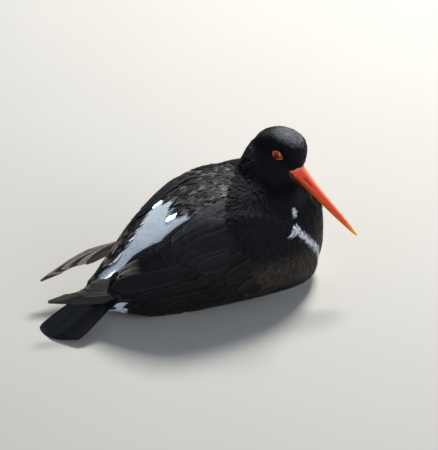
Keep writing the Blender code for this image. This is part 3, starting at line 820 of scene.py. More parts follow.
for index, (spot, pick) in enumerate(spots):
    if taken[index]:
        continue
    p = to_bird(spot)
    n = soft_normals[pick]
    length = feather_length(p)
    gap = SPACING * (WHITE_SPACING if whiteness(p, n) > 0 else 1.0)
    for _, other, _ in room.find_range(spot, length * gap * MM):
        taken[other] = True
    if on_bill(p):
        continue
    heading = flow(p, n)
    aside = rng.uniform(-HEADING_SPREAD, HEADING_SPREAD)
    heading = (heading + heading.cross(n) * aside).normalized()
    if over_eye(p) or over_eye(p + heading * length) or over_eye(p + heading * length * 0.5):
        continue
    if under_wing_feathers(p):
        continue
    length = length * rng.uniform(*LENGTH_SPREAD)
    depth = coat_depth(p)
    tiny = length < TINY_BELOW
    width = length * rng.uniform(*WIDTH_SHARE)
    colour_at = p + heading * length * COLOUR_AT
    is_white = whiteness(colour_at, n) + rng.uniform(-EDGE_FRAY, EDGE_FRAY) > 0
    behind_neck = p.x - curve(NAPE_EDGE, p.y)
    on_neck = behind_neck > 0 and p.z > NECK_ABOVE
    lifted = rng.uniform(*(NECK_LIFT_SPREAD if on_neck and not tiny else LIFT_SPREAD))
    if 0 < behind_neck < NECK_STEP_WIDTH and p.z > NECK_STEP_ABOVE and not is_white:
        lifted += NECK_STEP * (1 - behind_neck / NECK_STEP_WIDTH)
    on_mantle = n.z > FACES_UP and behind_neck < 0 and not is_white and not tiny
    if on_mantle:
        lifted += MANTLE_LOOSENESS * rng.random()
        length *= MANTLE_LENGTHENING
        width *= MANTLE_NARROWING
    if is_white:
        lifted = 0.0
        length *= WHITE_LENGTHENING
        width *= WHITE_LENGTHENING
    rise = TINY_RISE if tiny else FLAT_RISE if is_white or on_neck else RISE
    plume = {
        "length": length * MM,
        "width": width * MM,
        "root_lift": ROOT_LIFT * depth * MM,
        "rise": (rise * depth + lifted) * MM,
        "camber": CAMBER * length * MM,
        "tilt": TILT * length * rng.choice((-1, 1)) * MM,
    }
    rows, profile, columns = (
        (TINY_ROWS, TINY_PROFILE, 2) if tiny else (FEATHER_ROWS, FEATHER_PROFILE, 4)
    )
    grid = lay_feather(rows, profile, columns, spot, heading, plume, rng)
    keys = (tiny_leaf if tiny else small_leaf)[0]
    corners = corners_of(grid, keys, TINY_THICKNESS if tiny else SMALL_THICKNESS)
    if is_white:
        colour = WHITE * rng.uniform(*WHITE_SPREAD)
    else:
        colour = dark_colour(colour_at) * rng.uniform(*DARK_SPREAD)
    mark = rng.random()
    near_mark = abs(whiteness(p, n)) < NEAR_MARK and (
        p.x > BREAST_WHITE_FROM or p.x < RUMP_MARK_BEHIND
    )
    tints = []
    vane = []
    for row, column, side in keys:
        _, _, x, share = grid[row][column]
        # Dark feathers grow paler towards the tip, a painted highlight.
        tone = 1.0 if is_white else TIP_HIGHLIGHT[0] + TIP_HIGHLIGHT[1] * share * share
        # Painted highlight: some mantle feathers get pale tips that stand for glints of light.
        if on_mantle:
            tone = MANTLE_TONE + MANTLE_PAINTED_GLINT * share * share * mark ** 4
        if near_mark:
            at = to_bird(grid[row][column][0])
            fray = RUMP_FRAY * (mark - 0.5) * ease(*RUMP_FRAY_FADES, p.x)
            if p.x > 0:
                fray = BREAST_FRAY * rng.uniform(-1, 1)
            colour = WHITE if whiteness(at, n) + fray > 0 else dark_colour(at)
        tints.append((colour.x * tone, colour.y * tone, colour.z * tone, mark))
        vane.append((x * plume["width"] / 2 / CM, share * plume["length"] / CM))
    if tiny:
        name = "coat_head"
    elif p.z > NECK_PIECE_ABOVE and behind_neck > 0 and not is_white:
        name = "coat_neck"
    elif is_white and p.x < 0 and n.z > RUMP_FACES_UP:
        name = "coat_rump"
    elif n.z < BELLY_FACES_DOWN or is_white:
        name = "coat_belly"
    elif behind_neck > 0:
        name = "coat_breast"
    elif abs(p.y) > WING_PIECE_OUTSIDE or (p.x < TAIL_BASE_FROM and abs(p.y) > TAIL_BASE_HALF):
        name = "coat_wing_right" if p.y < 0 else "coat_wing_left"
    else:
        name = "coat_back"
    laid[name].append({"corners": corners, "tints": tints, "vane": vane, "root": p})

for name, look, slot in (
    ("coat_head", black_look, "feather_black"),
    ("coat_neck", black_look, "feather_black"),
    ("coat_breast", black_look, "feather_black"),
    ("coat_back", brown_look, "feather_brown_black"),
    ("coat_wing_right", black_look, "feather_brown_black"),
    ("coat_wing_left", black_look, "feather_brown_black"),
    ("coat_rump", white_look, "feather_brown_black"),
    ("coat_belly", white_look, "feather_brown_black"),
):
    feather_piece(name, tiny_leaf if name == "coat_head" else small_leaf, laid[name], look)

# The long feathers of the folded wings lie over the small ones in layers: flight
# feathers lowest, then the wing coverts, the long tertials along the back, and three
# lobes of shoulder feathers on top. Each is rooted under the layer in front of it.
LONG_COLUMNS = 6
LONG_ROWS = 12
LONG_SHARES = [1 - (1 - j / LONG_ROWS) ** 1.5 for j in range(LONG_ROWS + 1)]
LONG_THICKNESS = 0.2 * MM
WALK_STEP = 2.0 * MM
MOST_STEPS = 90
LAST_STEP = 1.2 * WALK_STEP  # a walk this near its end goes straight to it
# (first root, first tip, last root, last tip, how many, width, height of the tip,
# where along its length a feather begins to narrow)
WING_LAYERS = (
    ("secondaries", (26, -52, 20), (-60, -37, 10), (-2, -50, 60), (-97, -17, 35), 7, 17, 1.2, 0.72),
    ("greater_coverts", (46, -54, 22), (-6, -50, 15), (20, -51, 70), (-42, -41, 52), 8, 16, 1.8, 0.62),
    ("tertials", (-6, -49, 66), (-100, -17, 41), (-12, -36, 91), (-86, -13, 54), 4, 19, 2.2, 0.70),
    ("middle_coverts", (34, -54, 34), (8, -51, 24), (20, -51, 76), (-22, -46, 60), 5, 17, 2.3, 0.52),
    ("lower_shoulder", (16, -52, 66), (-26, -45, 59), (16, -46, 86), (-56, -32, 70), 5, 19, 2.9, 0.52),
    ("upper_shoulder", (14, -46, 86), (-38, -37, 75), (12, -32, 101), (-56, -26, 74), 4, 19, 3.5, 0.52),
    ("top_shoulder", (12, -31, 103), (-44, -28, 82), (14, -27, 105), (-24, -27, 92), 3, 13, 3.6, 0.60),
)
# Painted light: the higher shoulder lobes and the tertials are painted paler for the light falling on
# them.
WING_TONES = {
    "secondaries": 1.1, "greater_coverts": 1.1, "tertials": 1.6, "middle_coverts": 1.2,
    "lower_shoulder": 1.7, "upper_shoulder": 2.4, "top_shoulder": 5.0,
}
PAINTED_SHEEN_GREY = Vector((0.13, 0.11, 0.09))  # painted sheen: the pale grey of light glancing off the ends of the tertials and some long tips
# painted shade: the far wing's long feathers are painted darker than the near wing's
FAR_SIDE_PAINTED_SHADE = 0.5
FAR_SIDE_HEIGHT = 0.85  # the loose left wing shows its edge, so its feathers lie flatter
ROOT_HEIGHT = 0.3
VANE_LAP = 0.6
VANE_CROWN = 0.15
QUILL_WIDTH = 0.45  # share of the full width at the root
QUILL_LENGTH = 0.22
TIP_WIDTH = 0.05
WING_NICK = 0.05
WING_SEED = 23
ROOT_SPREAD = (4, 1)  # along the bird and up
LONG_WIDTH_SPREAD = (0.92, 1.08)
LONG_TONE_SPREAD = (0.8, 1.2)
PAINTED_SHEEN_SPREAD = (0.9, 1.3)
PAINTED_SHEEN_FROM = 0.80
BLACKER = 0.6
LONG_TONE = (0.75, 0.4)  # at the root, and what the tip adds
BASE_BLEND = 0.05
RAISED_BY = 0.4  # share of a feather's length over which it rises to its full height
FRINGE_AND_EDGE_HIGHLIGHT = 2.4  # the edges are this much paler, partly worn fringes and partly a painted highlight along each edge
long_leaf = leaf_template(LONG_COLUMNS, LONG_ROWS)


def walk(root, tip):
    """Places on the skin, in even steps, from a root to a tip."""
    path = [touch(root)]
    goal, goal_out = touch(tip)
    for _ in range(MOST_STEPS):
        here, out = path[-1]
        left = goal - here
        if left.length < LAST_STEP:
            break
        heading = (left - out * left.dot(out)).normalized()
        path.append(touch(here + heading * WALK_STEP))
    path.append((goal, goal_out))
    return path


def along_path(path, share):
    at = share * (len(path) - 1)
    low = min(int(at), len(path) - 2)
    rest = at - low
    place = path[low][0].lerp(path[low + 1][0], rest)
    out = path[low][1].lerp(path[low + 1][1], rest).normalized()
    heading = (path[low + 1][0] - path[low][0]).normalized()
    return place, out, heading


def outline(share, slimness):
    """Half width of a long vane: quickly full from its quill, and round or slim at its tip."""
    full = min(1.0, QUILL_WIDTH + share / QUILL_LENGTH)
    if share > slimness:
        over = (share - slimness) / (1 - slimness)
        full = full * math.sqrt(max(0.0, 1 - over * over))
    return max(full, TIP_WIDTH)


def long_vane(path, width, high, slimness, rng, lap):
    """Rows of a long vane on the skin; one edge lies a little higher, over its neighbour."""
    grid = []
    for share in LONG_SHARES:
        centre, out, heading = along_path(path, share)
        across = heading.cross(out).normalized()
        half = width / 2 * outline(share, slimness)
        line = []
        for column in range(LONG_COLUMNS + 1):
            x = 2 * column / LONG_COLUMNS - 1
            nick = 1 - (WING_NICK * rng.random() if abs(x) == 1 else 0.0)
            place, way = touch(centre + across * half * x * nick * MM)
            height = ROOT_HEIGHT + (high - ROOT_HEIGHT) * ease(0, RAISED_BY, share)
            height = height + VANE_CROWN * (1 - x * x) + lap * x * ease(0, RAISED_BY, share)
            line.append((place + way * height * MM, way, x * outline(share, slimness), share))
        grid.append(line)
    return grid


def finished_vane(grid, colour, width, length, root, rng, base_colour=None, base_share=0.0):
    """A laid vane with its tints and its map across and along."""
    keys = long_leaf[0]
    tints = []
    vane = []
    mark = rng.random()
    for row, column, side in keys:
        _, _, x, share = grid[row][column]
        tone = LONG_TONE[0] + LONG_TONE[1] * share
        # Paler edges: partly worn fringes, partly a painted highlight along each edge.
        if column in (0, LONG_COLUMNS) or row == LONG_ROWS:
            tone = tone * FRINGE_AND_EDGE_HIGHLIGHT
        shown = colour
        if base_colour is not None:
            into_tip = ease(base_share - BASE_BLEND, base_share + BASE_BLEND, share)
            shown = base_colour.lerp(colour, into_tip)
            tone = 1.0 if share < base_share else tone
        tints.append((shown.x * tone, shown.y * tone, shown.z * tone, mark))
        vane.append((x * width / 2 * MM / CM, share * length * MM / CM))
    corners = corners_of(grid, keys, LONG_THICKNESS)
    return {"corners": corners, "tints": tints, "vane": vane, "root": root}


wing_laid = {"wing_feathers_right": [], "wing_feathers_left": []}
for side, name in ((1, "wing_feathers_right"), (-1, "wing_feathers_left")):
    rng = random.Random(WING_SEED + side)
    for layer_name, root_a, tip_a, root_b, tip_b, count, width, high, slim in WING_LAYERS:
        for index in range(count):
            share = index / (count - 1)
            ends = [Vector(a).lerp(Vector(b), share) for a, b in ((root_a, root_b), (tip_a, tip_b))]
            along, up = (rng.uniform(-most, most) for most in ROOT_SPREAD)
            jitter = Vector((along, 0, up))
            root, tip = ends[0] + jitter, ends[1] + jitter
            root.y, tip.y = root.y * side, tip.y * side
            path = walk(bird(*root), bird(*tip))
            wide = width * rng.uniform(*LONG_WIDTH_SPREAD)
            over = high if side == 1 else high * FAR_SIDE_HEIGHT
            grid = long_vane(path, wide, over, slim, rng, VANE_LAP * side)
            # Painted highlight on the upper lobes, and painted shade on the far wing.
            tone = WING_TONES[layer_name] * (1.0 if side == 1 else FAR_SIDE_PAINTED_SHADE)
            colour = dark_colour(tip).lerp(BLACK, BLACKER) * tone * rng.uniform(*LONG_TONE_SPREAD)
            length = (len(path) - 1) * WALK_STEP / MM
            # Painted sheen: the ends of the middle tertials are painted pale grey for light glancing off
            # them.
            sheen_painted = layer_name == "tertials" and 0 < index < count - 1
            shown = PAINTED_SHEEN_GREY * rng.uniform(*PAINTED_SHEEN_SPREAD) if sheen_painted else colour
            base_share = PAINTED_SHEEN_FROM if sheen_painted else 0.0
            one = finished_vane(grid, shown, wide, length, root, rng, colour, base_share)
            wing_laid[name].append(one)
for name, rows in wing_laid.items():
    feather_piece(name, long_leaf, rows, black_look)

# The flight feathers' long tips reach out past the body from under each wing. Seven
# narrow vanes are stacked there, the longest lowest and outermost.
BLADES = {
    "primaries_right": (1, (Vector((-66, -20, 38)), Vector((-115, -12, 35.5)), Vector((-158, -1, 32)))),
    "primaries_left": (-1, (Vector((-58, 27, 50)), Vector((-104, 35, 42)), Vector((-150, 36, 26)))),
}
BLADE_HALF = ((0.0, 6), (0.25, 9), (0.45, 12), (0.65, 9), (0.82, 5.2), (0.94, 2.6), (1.0, 1.0))
BLADE_LEAN = ((0.0, 58), (0.5, 50), (1.0, 24))
LEAN_SHARE = {"primaries_right": 1.0, "primaries_left": -0.1}
DEPTH_SHARE = {"primaries_right": 1.0, "primaries_left": 0.9}
BLADE_FEATHERS = 7
BLADE_REACH = 0.975  # how far along the solid blade the longest tip comes
TIP_STEP = 0.075
BLADE_HALF_WIDTH = 6.2
LOWEST_HALF = 0.85  # the lowest vane fills this share of its room all along, without narrowing
BLADE_NARROWS = 0.55
BLADE_INSET = (0.9, 0.3)  # where across the blade the lowest vane lies, and the step to the next
BLADE_LIFT = (-0.9, 0.28, 0.35)  # of the lowest vane, the step to the next, and the crown of a vane
BLADE_LENGTH = 100.0
PALE_FROM = 3  # on the right, feathers above this one carry a little painted sheen
PALE_SHARE = 0.35
BLADE_TONES = (0.95, 1.15)  # of the lowest feather and of the others
BLADE_SEED = 41
VANE_NICK = 0.04


def blade_place(name, share):
    """Middle of the blade, its outer direction and its upper side at a share of its length."""
    side, (first, middle, last) = BLADES[name]
    here = (1 - share) ** 2 * first + 2 * share * (1 - share) * middle + share ** 2 * last
    heading = (2 * (1 - share) * (middle - first) + 2 * share * (last - middle)).normalized()
    flat = heading.cross(Vector((0, 0, 1))).normalized() * -side
    rise = flat.cross(heading).normalized()
    if rise.z < 0:
        rise = -rise
    roll = math.radians(LEAN_SHARE[name] * curve(BLADE_LEAN, share))
    outer = flat * math.cos(roll) - rise * math.sin(roll)
    upper = rise * math.cos(roll) + flat * math.sin(roll)
    return here, heading, outer, upper


for name, (side, _) in BLADES.items():
    rng = random.Random(BLADE_SEED + side)
    rows = []
    for index in range(BLADE_FEATHERS):
        reach = BLADE_REACH - TIP_STEP * index
        grid = []
        for share in LONG_SHARES:
            at = share * reach
            here, heading, outer, upper = blade_place(name, at)
            depth = curve(BLADE_HALF, at) * DEPTH_SHARE[name]
            half = min(BLADE_HALF_WIDTH * DEPTH_SHARE[name], depth)
            half = half * (outline(share, BLADE_NARROWS) if index else LOWEST_HALF)
            middle = here + outer * (depth - half) * (BLADE_INSET[0] - BLADE_INSET[1] * index)
            line = []
            for column in range(LONG_COLUMNS + 1):
                x = 2 * column / LONG_COLUMNS - 1
                nick = 1 - (VANE_NICK * rng.random() if abs(x) == 1 else 0.0)
                lift = BLADE_LIFT[0] + BLADE_LIFT[1] * index + BLADE_LIFT[2] * (1 - x * x)
                across = outer * x * side * half * nick
                line.append((bird(*(middle + across + upper * lift)), upper, x, share))
            grid.append(line)
        colour = BROWN_BLACK * BLADE_TONES[1 if index else 0]
        # Painted sheen: every second vane on the left, and on the right those above PALE_FROM, are painted
        # pale grey for light glancing off them.
        if side < 0 and index % 2:
            colour = PAINTED_SHEEN_GREY
        if side > 0 and index > PALE_FROM:
            colour = PAINTED_SHEEN_GREY * PALE_SHARE
        root = BLADES[name][1][0]
        rows.append(finished_vane(grid, colour, 2 * BLADE_HALF_WIDTH, BLADE_LENGTH * reach, root, rng))
    label = "feathers_" + name
    piece = feather_piece(label, long_leaf, rows, brown_look, bake=False)
    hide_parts(name)

# The tail is a fan of twelve broad feathers laid one over the next, black from just
# past the root to the tip, with white coverts over and under its base.
TAIL_ROOT = Vector((-92, -5, 33))
TAIL_TIP = Vector((-158.5, -14, -0.4))
TAIL_HALF = ((0.0, 12.5), (0.4, 18.0), (0.75, 21.0), (1.0, 21.0))
TAIL_SKEW = 8.0
TAIL_FEATHERS = 12
TAIL_ARCH = 2.6
TAIL_CORNER = 5.0
TAIL_VANE = 7.2
TAIL_LENGTH = 77.0
TAIL_MARGIN = 5.5  # from the edge of the fan in to the middle of its outermost feather
TAIL_LIFT = (-0.9, 0.14)  # of the lowest feather, and the step to the next
TAIL_NARROWS = 0.86
TAIL_WHITE = 0.03
TAIL_CROWN = 0.4
TAIL_LAP = 0.25
TAIL_FLATTENS = 0.6
TAIL_SEED = 57
COVERT_TIP_SPREAD = 0.03
COVERT_NARROWS = 0.6
COVERT_TONE = 0.97
COVERT_HALF = 6.0
COVERT_LENGTH = 34.0
# (how many, share of the fan's width, first lift, step of the lift, root, tip)
COVERT_ROWS = (
    (9, 0.9, 1.2, 0.5, -0.22, 0.10), (9, 0.55, -2.2, -0.5, -0.25, 0.30), (6, 0.9, 1.2, 0.5, -0.30, 0.02),
)
tail_run = TAIL_TIP - TAIL_ROOT
tail_side = Vector((tail_run.y, -tail_run.x, 0)).normalized()
tail_rise = tail_side.cross(tail_run).normalized()
if tail_rise.z < 0:
    tail_rise = -tail_rise


def tail_vane(place, start, reach, half_width, lift, slimness, rng):
    """Rows of one tail feather; its place runs from -1 to 1 across the fan."""
    grid = []
    for share in LONG_SHARES:
        at = start + (reach - start) * share
        half = curve(TAIL_HALF, at)
        arch = TAIL_ARCH * (1 - place * place) * (1 - TAIL_FLATTENS * at)
        back = TAIL_CORNER * place * place * max(0.0, at) ** 3 - TAIL_SKEW * place * at
        middle = TAIL_ROOT + tail_run * at - tail_run.normalized() * back
        middle = middle + tail_side * place * (half - TAIL_MARGIN) + tail_rise * (arch + lift)
        line = []
        for column in range(LONG_COLUMNS + 1):
            x = 2 * column / LONG_COLUMNS - 1
            nick = 1 - (VANE_NICK * rng.random() if abs(x) == 1 else 0.0)
            wide = tail_side * x * half_width * outline(share, slimness) * nick
            dip = tail_rise * (TAIL_CROWN * (1 - x * x) - TAIL_LAP * x * (1 if place > 0 else -1))
            line.append((bird(*(middle + wide + dip)), tail_rise, x, share))
        grid.append(line)
    return grid


rng = random.Random(TAIL_SEED)
rows = []
order = sorted(range(TAIL_FEATHERS), key=lambda i: -abs(i - (TAIL_FEATHERS - 1) / 2))
for rank, index in enumerate(order):
    place = (index - (TAIL_FEATHERS - 1) / 2) / ((TAIL_FEATHERS - 1) / 2)
    lift = TAIL_LIFT[0] + TAIL_LIFT[1] * rank
    grid = tail_vane(place, 0.0, 1.0, TAIL_VANE, lift, TAIL_NARROWS, rng)
    rows.append(finished_vane(grid, BLACK, 2 * TAIL_VANE, TAIL_LENGTH, TAIL_ROOT, rng, WHITE, TAIL_WHITE))
tail = feather_piece("tail_feathers", long_leaf, rows, black_look, bake=False)
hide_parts("tail")
rows = []
for count, fan_share, lowest, lift_step, start, reach in COVERT_ROWS:
    for index in range(count):
        place = 2 * index / (count - 1) - 1
        lift = lowest + lift_step * rng.random()
        tip = reach + rng.uniform(-COVERT_TIP_SPREAD, COVERT_TIP_SPREAD)
        grid = tail_vane(place * fan_share, start, tip, COVERT_HALF, lift, COVERT_NARROWS, rng)
        colour = WHITE * COVERT_TONE
        rows.append(finished_vane(grid, colour, 2 * COVERT_HALF, COVERT_LENGTH, TAIL_ROOT, rng))
feather_piece("tail_coverts", long_leaf, rows, white_look, bake=False)

# The bill is two long horn sheaths, flattened from side to side towards a blunt tip.
# The upper one has a slit of a nostril in a groove along its side. Red skin at the
# corner of the mouth covers the joint with the face.
BILL = (  # along, culmen, cutting edge, lower edge, half width
    (-8, 8.8, -1.9, -7.6, 5.8), (0, 8.2, -1.2, -7.6, 5.5), (8, 6.7, -0.8, -6.9, 4.7),
    (20, 5.0, -0.6, -5.9, 3.7), (36, 3.8, -0.5, -5.1, 3.0), (55, 2.8, -0.5, -4.1, 2.4),
    (70, 1.8, -0.5, -2.9, 1.8), (77, 0.9, -0.5, -1.9, 1.3), (80, 0.1, -0.5, -1.0, 0.7),
)
BILL_ROWS = 72
BILL_SIDES = 36
TIP_CROWDING = 1.15  # sets the rows closer towards the tip
JAW_ROUNDING = 0.85
JAW_SQUARENESS = (0.5, 0.75)  # of the lower sheath and of the upper; a smaller number is squarer
MOUTH_GAP = 0.12
NOSTRIL = (7.2, 17.8)
NOSTRIL_LEVEL = 0.44
NOSTRIL_HALF = 0.055
NOSTRIL_DEPTH = 1.1
NOSTRIL_SOFT = 1.2
NOSTRIL_DARKENS = 1.5
GROOVE = (5.0, 46.0)
GROOVE_SOFT = 5
GROOVE_HALF = 0.2
GROOVE_DEPTH = 0.38
LOWER_BROADER = 1.12  # the lower sheath's sides stand a little outside the upper's
JAW_NARROWING = 0.25  # from the cutting edge to the ridge
LOWER_GROOVE = (2, 55)
LOWER_GROOVE_SOFT = 6
LOWER_GROOVE_LEVEL = 0.45
LOWER_GROOVE_HALF = 0.22
LOWER_GROOVE_DEPTH = 0.22
EDGE_GROOVE = 0.3  # a second, finer groove just above the cutting edge
EDGE_GROOVE_LEVEL = 0.2
EDGE_GROOVE_HALF = 0.06
EDGE_GROOVE_FADES = (30, 60)
GAPE = (-5.2, 3.6)  # where the corner of the mouth swells, and how far along it spreads
GAPE_SWELL = 4.9
GAPE_ORANGE = 0.6
GAPE_HEIGHT = (0.35, 0.95)  # where it fades out, from the cutting edge towards the ridge
# Painted highlight: the ridge of the upper sheath is painted paler, where light catches it.
CULMEN_HIGHLIGHT_FROM = (0.80, 1.0)
YELLOW_FROM = (63, 78)  # along the bill
YELLOW_SLANT = 2  # it begins this much earlier along the ridge
UPPER_RED = Vector((1.0, 0.095, 0.038))
LOWER_ORANGE = Vector((1.0, 0.18, 0.020))
# the paler colour of the ridge, next, is a painted highlight
CULMEN_PAINTED_HIGHLIGHT = Vector((1.0, 0.24, 0.09))
TIP_YELLOW = Vector((0.95, 0.48, 0.05))
# the nostril's slit is painted dark, a painted shade inside the opening
NOSTRIL_PAINTED_SHADE = Vector((0.10, 0.008, 0.004))
HORN_EDGE_ANGLE = math.radians(60)
HORN_GLOW = 0.45
HORN_GLOW_DEPTHS = (1.0, 0.40, 0.12)
HORN_GLOW_SCALE = 0.005
HORN_GRAIN = (0.006, 0.0007, 0.0007)  # one grain's length, breadth and depth
GRAIN_VALUES = (0.25, 0.75)
GRAIN_TONES = (0.82, 1.16)
GRAIN_GLOSS = (0.28, 0.46)
BLOTCH_TONES = (0.9, 1.1)


def smooth_curve(rows, where, column):
    """Like curve, eased so that a long form shows no corners."""
    spread_out = (-1.5, -0.75, 0, 0.75, 1.5)
    return sum(curve(rows, where + d, column) for d in spread_out) / len(spread_out)


def swell_between(where, low, high, soft):
    return ease(low - soft, low + soft, where) * (1 - ease(high - soft, high + soft, where))


def hump(value, middle, half):
    """1 at the middle, fading evenly to both sides."""
    return math.exp(-((value - middle) / half) ** 2)


def make_jaw(name, upper):
    """One sheath: a grid rolled up, with its colour worked out corner by corner."""
    bm = bmesh.new()
    bmesh.ops.create_grid(bm, x_segments=BILL_SIDES, y_segments=BILL_ROWS, size=1)
    bm.verts.ensure_lookup_table()
    tint = bm.verts.layers.float_color.new("Tint")
    first, last = BILL[0][0], BILL[-1][0]
    for index, vert in enumerate(bm.verts):
        row, column = divmod(index, BILL_SIDES + 1)
        turn = 2 * math.pi * (column % BILL_SIDES) / BILL_SIDES
        along = first + (last - first) * (1 - (1 - row / BILL_ROWS) ** TIP_CROWDING)
        culmen, edge, keel, half = (smooth_curve(BILL, along, i) for i in range(1, 5))
        if row == BILL_ROWS:
            culmen, edge, keel, half = BILL[-1][1:]
        far = culmen if upper else keel
        near = edge + (MOUTH_GAP if upper else -MOUTH_GAP)
        rise = max(0.0, math.sin(turn)) ** JAW_ROUNDING
        side = math.copysign(abs(math.cos(turn)) ** JAW_SQUARENESS[upper], math.cos(turn))
        width = half * ((1.0 if upper else LOWER_BROADER) - JAW_NARROWING * rise)
        # The ridge of the upper sheath gets its painted highlight here.
        colour = UPPER_RED.lerp(CULMEN_PAINTED_HIGHLIGHT, ease(*CULMEN_HIGHLIGHT_FROM, rise)) if upper else LOWER_ORANGE
        if upper:
            slit = swell_between(along, *NOSTRIL, NOSTRIL_SOFT) * hump(rise, NOSTRIL_LEVEL, NOSTRIL_HALF)
            groove = swell_between(along, *GROOVE, GROOVE_SOFT) * hump(rise, NOSTRIL_LEVEL, GROOVE_HALF)
            width -= NOSTRIL_DEPTH * slit + GROOVE_DEPTH * groove
            low_line = hump(rise, EDGE_GROOVE_LEVEL, EDGE_GROOVE_HALF)
            width -= EDGE_GROOVE * low_line * (1 - ease(*EDGE_GROOVE_FADES, along))
            # Painted shade: the nostril's slit is darkened for the shadow inside it.
            colour = colour.lerp(NOSTRIL_PAINTED_SHADE, min(1.0, NOSTRIL_DARKENS * slit))
        else:
            groove = swell_between(along, *LOWER_GROOVE, LOWER_GROOVE_SOFT)
            width -= LOWER_GROOVE_DEPTH * groove * hump(rise, LOWER_GROOVE_LEVEL, LOWER_GROOVE_HALF)
        gape = hump(along, *GAPE) * (1 - ease(*GAPE_HEIGHT, rise))
        width += GAPE_SWELL * gape
        colour = colour.lerp(LOWER_ORANGE, GAPE_ORANGE * gape)
        colour = colour.lerp(TIP_YELLOW, ease(*YELLOW_FROM, along + YELLOW_SLANT * rise))
        height = near + (far - near) * rise
        vert.co = bird(*in_head(along, height, side * width))
        vert[tint] = (*colour, 1.0)
    bmesh.ops.remove_doubles(bm, verts=bm.verts, dist=TOUCHING)
    bmesh.ops.holes_fill(bm, edges=[e for e in bm.edges if e.is_boundary], sides=0)
    bmesh.ops.recalc_face_normals(bm, faces=bm.faces)
    mesh = mesh_from(name, bm)
    mesh.shade_smooth()
    mesh.set_sharp_from_angle(angle=HORN_EDGE_ANGLE)
    return mesh


horn, tree, shader = new_material("horn", tuple(UPPER_RED), 0.36)
tint = add_node(tree, "ShaderNodeVertexColor", layer_name="Tint").outputs["Color"]
place = object_place(tree)
bill_turn = Matrix((HEAD_AHEAD, HEAD_RIGHT, HEAD_AHEAD.cross(HEAD_RIGHT))).transposed()
along_bill = add_node(tree, "ShaderNodeMapping", {
    "Vector": place,
    "Location": bird(*BILL_ROOT),
    "Rotation": bill_turn.to_euler(),
    "Scale": HORN_GRAIN,
}, vector_type="TEXTURE")
grain = cloudy(tree, along_bill.outputs["Vector"], 1.0, 4.0, 0.6)
grain_tone = stretched(tree, grain, *GRAIN_TONES, *GRAIN_VALUES)
blotch_tone = stretched(tree, cloudy(tree, place, 160.0, 2.0), *BLOTCH_TONES)
tone = work_out(tree, "MULTIPLY", grain_tone, blotch_tone)
feed(tree, shader.inputs["Base Color"], toned(tree, tint, tone))
feed(tree, shader.inputs["Roughness"], stretched(tree, grain, *GRAIN_GLOSS))
fine_relief(tree, shader, grain, 0.5, 0.00012)
shader.inputs["Subsurface Weight"].default_value = HORN_GLOW
shader.inputs["Subsurface Radius"].default_value = HORN_GLOW_DEPTHS
shader.inputs["Subsurface Scale"].default_value = HORN_GLOW_SCALE
for name, upper, node in (("upper_jaw", True, "bill_upper"), ("lower_jaw", False, "bill_lower")):
    jaw = add_object(name, make_jaw(name, upper), horn)
    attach(jaw, "root")
    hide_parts(node)

# Each eye is a glassy ball with a blood-red iris and a round black pupil, held in a
# swollen orange-red rim of bare skin that narrows to a corner in front and behind.
EYE_RADIUS = 4.6
EYE_SINK = 2.6
PUPIL_ANGLE = 0.46
IRIS_ANGLE = 0.95
CORNEA_BULGE = 0.25
RIM_RADIUS = 3.35
RIM_THICKNESS = 0.55
RIM_STRETCH = 1.35
RIM_SKIRT = 1.6  # how far the rim reaches down into the face
RIM_CREASE = 0.05
RIM_CREASES = (9, 5)
RIM_CORNERS = (0.9, 0.4)  # how far the rim runs out to a corner in front and behind
RIM_POINTING = 0.18
RIM_STEPS = 72
RIM_SIDES = 14
RIM_RED = (1.0, 0.12, 0.020)
RIM_TONES = (0.72, 1.2)
PUPIL_EDGE = 0.006
PUPIL_DARK = (0.003, 0.002, 0.003, 1)
IRIS_RED = (0.26, 0.006, 0.014, 1)
IRIS_STOPS = (  # from the pupil's edge out to the dark ring round the iris
    (0.20, (0.50, 0.014, 0.026, 1)), (0.25, (0.40, 0.012, 0.018, 1)), (0.29, (0.05, 0.004, 0.006, 1)),
)
IRIS_RAYS = (60.0, 14.0, 1.0)
IRIS_RAY_TONES = (0.6, 1.4)

iris, tree, shader = new_material("iris", (0.25, 0.01, 0.02), 0.08)
gaze = add_node(tree, "ShaderNodeUVMap", uv_map="Gaze").outputs["UV"]
parts = add_node(tree, "ShaderNodeSeparateXYZ", {"Vector": gaze})
ramp = add_node(tree, "ShaderNodeValToRGB", {"Fac": parts.outputs["Y"]})
stops = ramp.color_ramp.elements
stops[0].position, stops[0].color = PUPIL_ANGLE / math.pi - PUPIL_EDGE, PUPIL_DARK
stops[1].position, stops[1].color = PUPIL_ANGLE / math.pi + PUPIL_EDGE, IRIS_RED
for at, colour in IRIS_STOPS:
    stops.new(at).color = colour
stretch = add_node(tree, "ShaderNodeMapping", {"Vector": gaze, "Scale": IRIS_RAYS})
rays = stretched(tree, cloudy(tree, stretch.outputs["Vector"], 1.0, 3.0), *IRIS_RAY_TONES)
feed(tree, shader.inputs["Base Color"], toned(tree, ramp.outputs["Color"], rays))
shader.inputs["Coat Weight"].default_value = 0.5
shader.inputs["Coat Roughness"].default_value = 0.02

rim_skin, tree, shader = new_material("eye_rim_skin", RIM_RED, 0.42)
grain = cloudy(tree, object_place(tree), 1400.0, 3.0)
tone = stretched(tree, grain, *RIM_TONES)
feed(tree, shader.inputs["Base Color"], toned(tree, (*RIM_RED, 1.0), tone))
fine_relief(tree, shader, grain, 0.7, 0.0002)

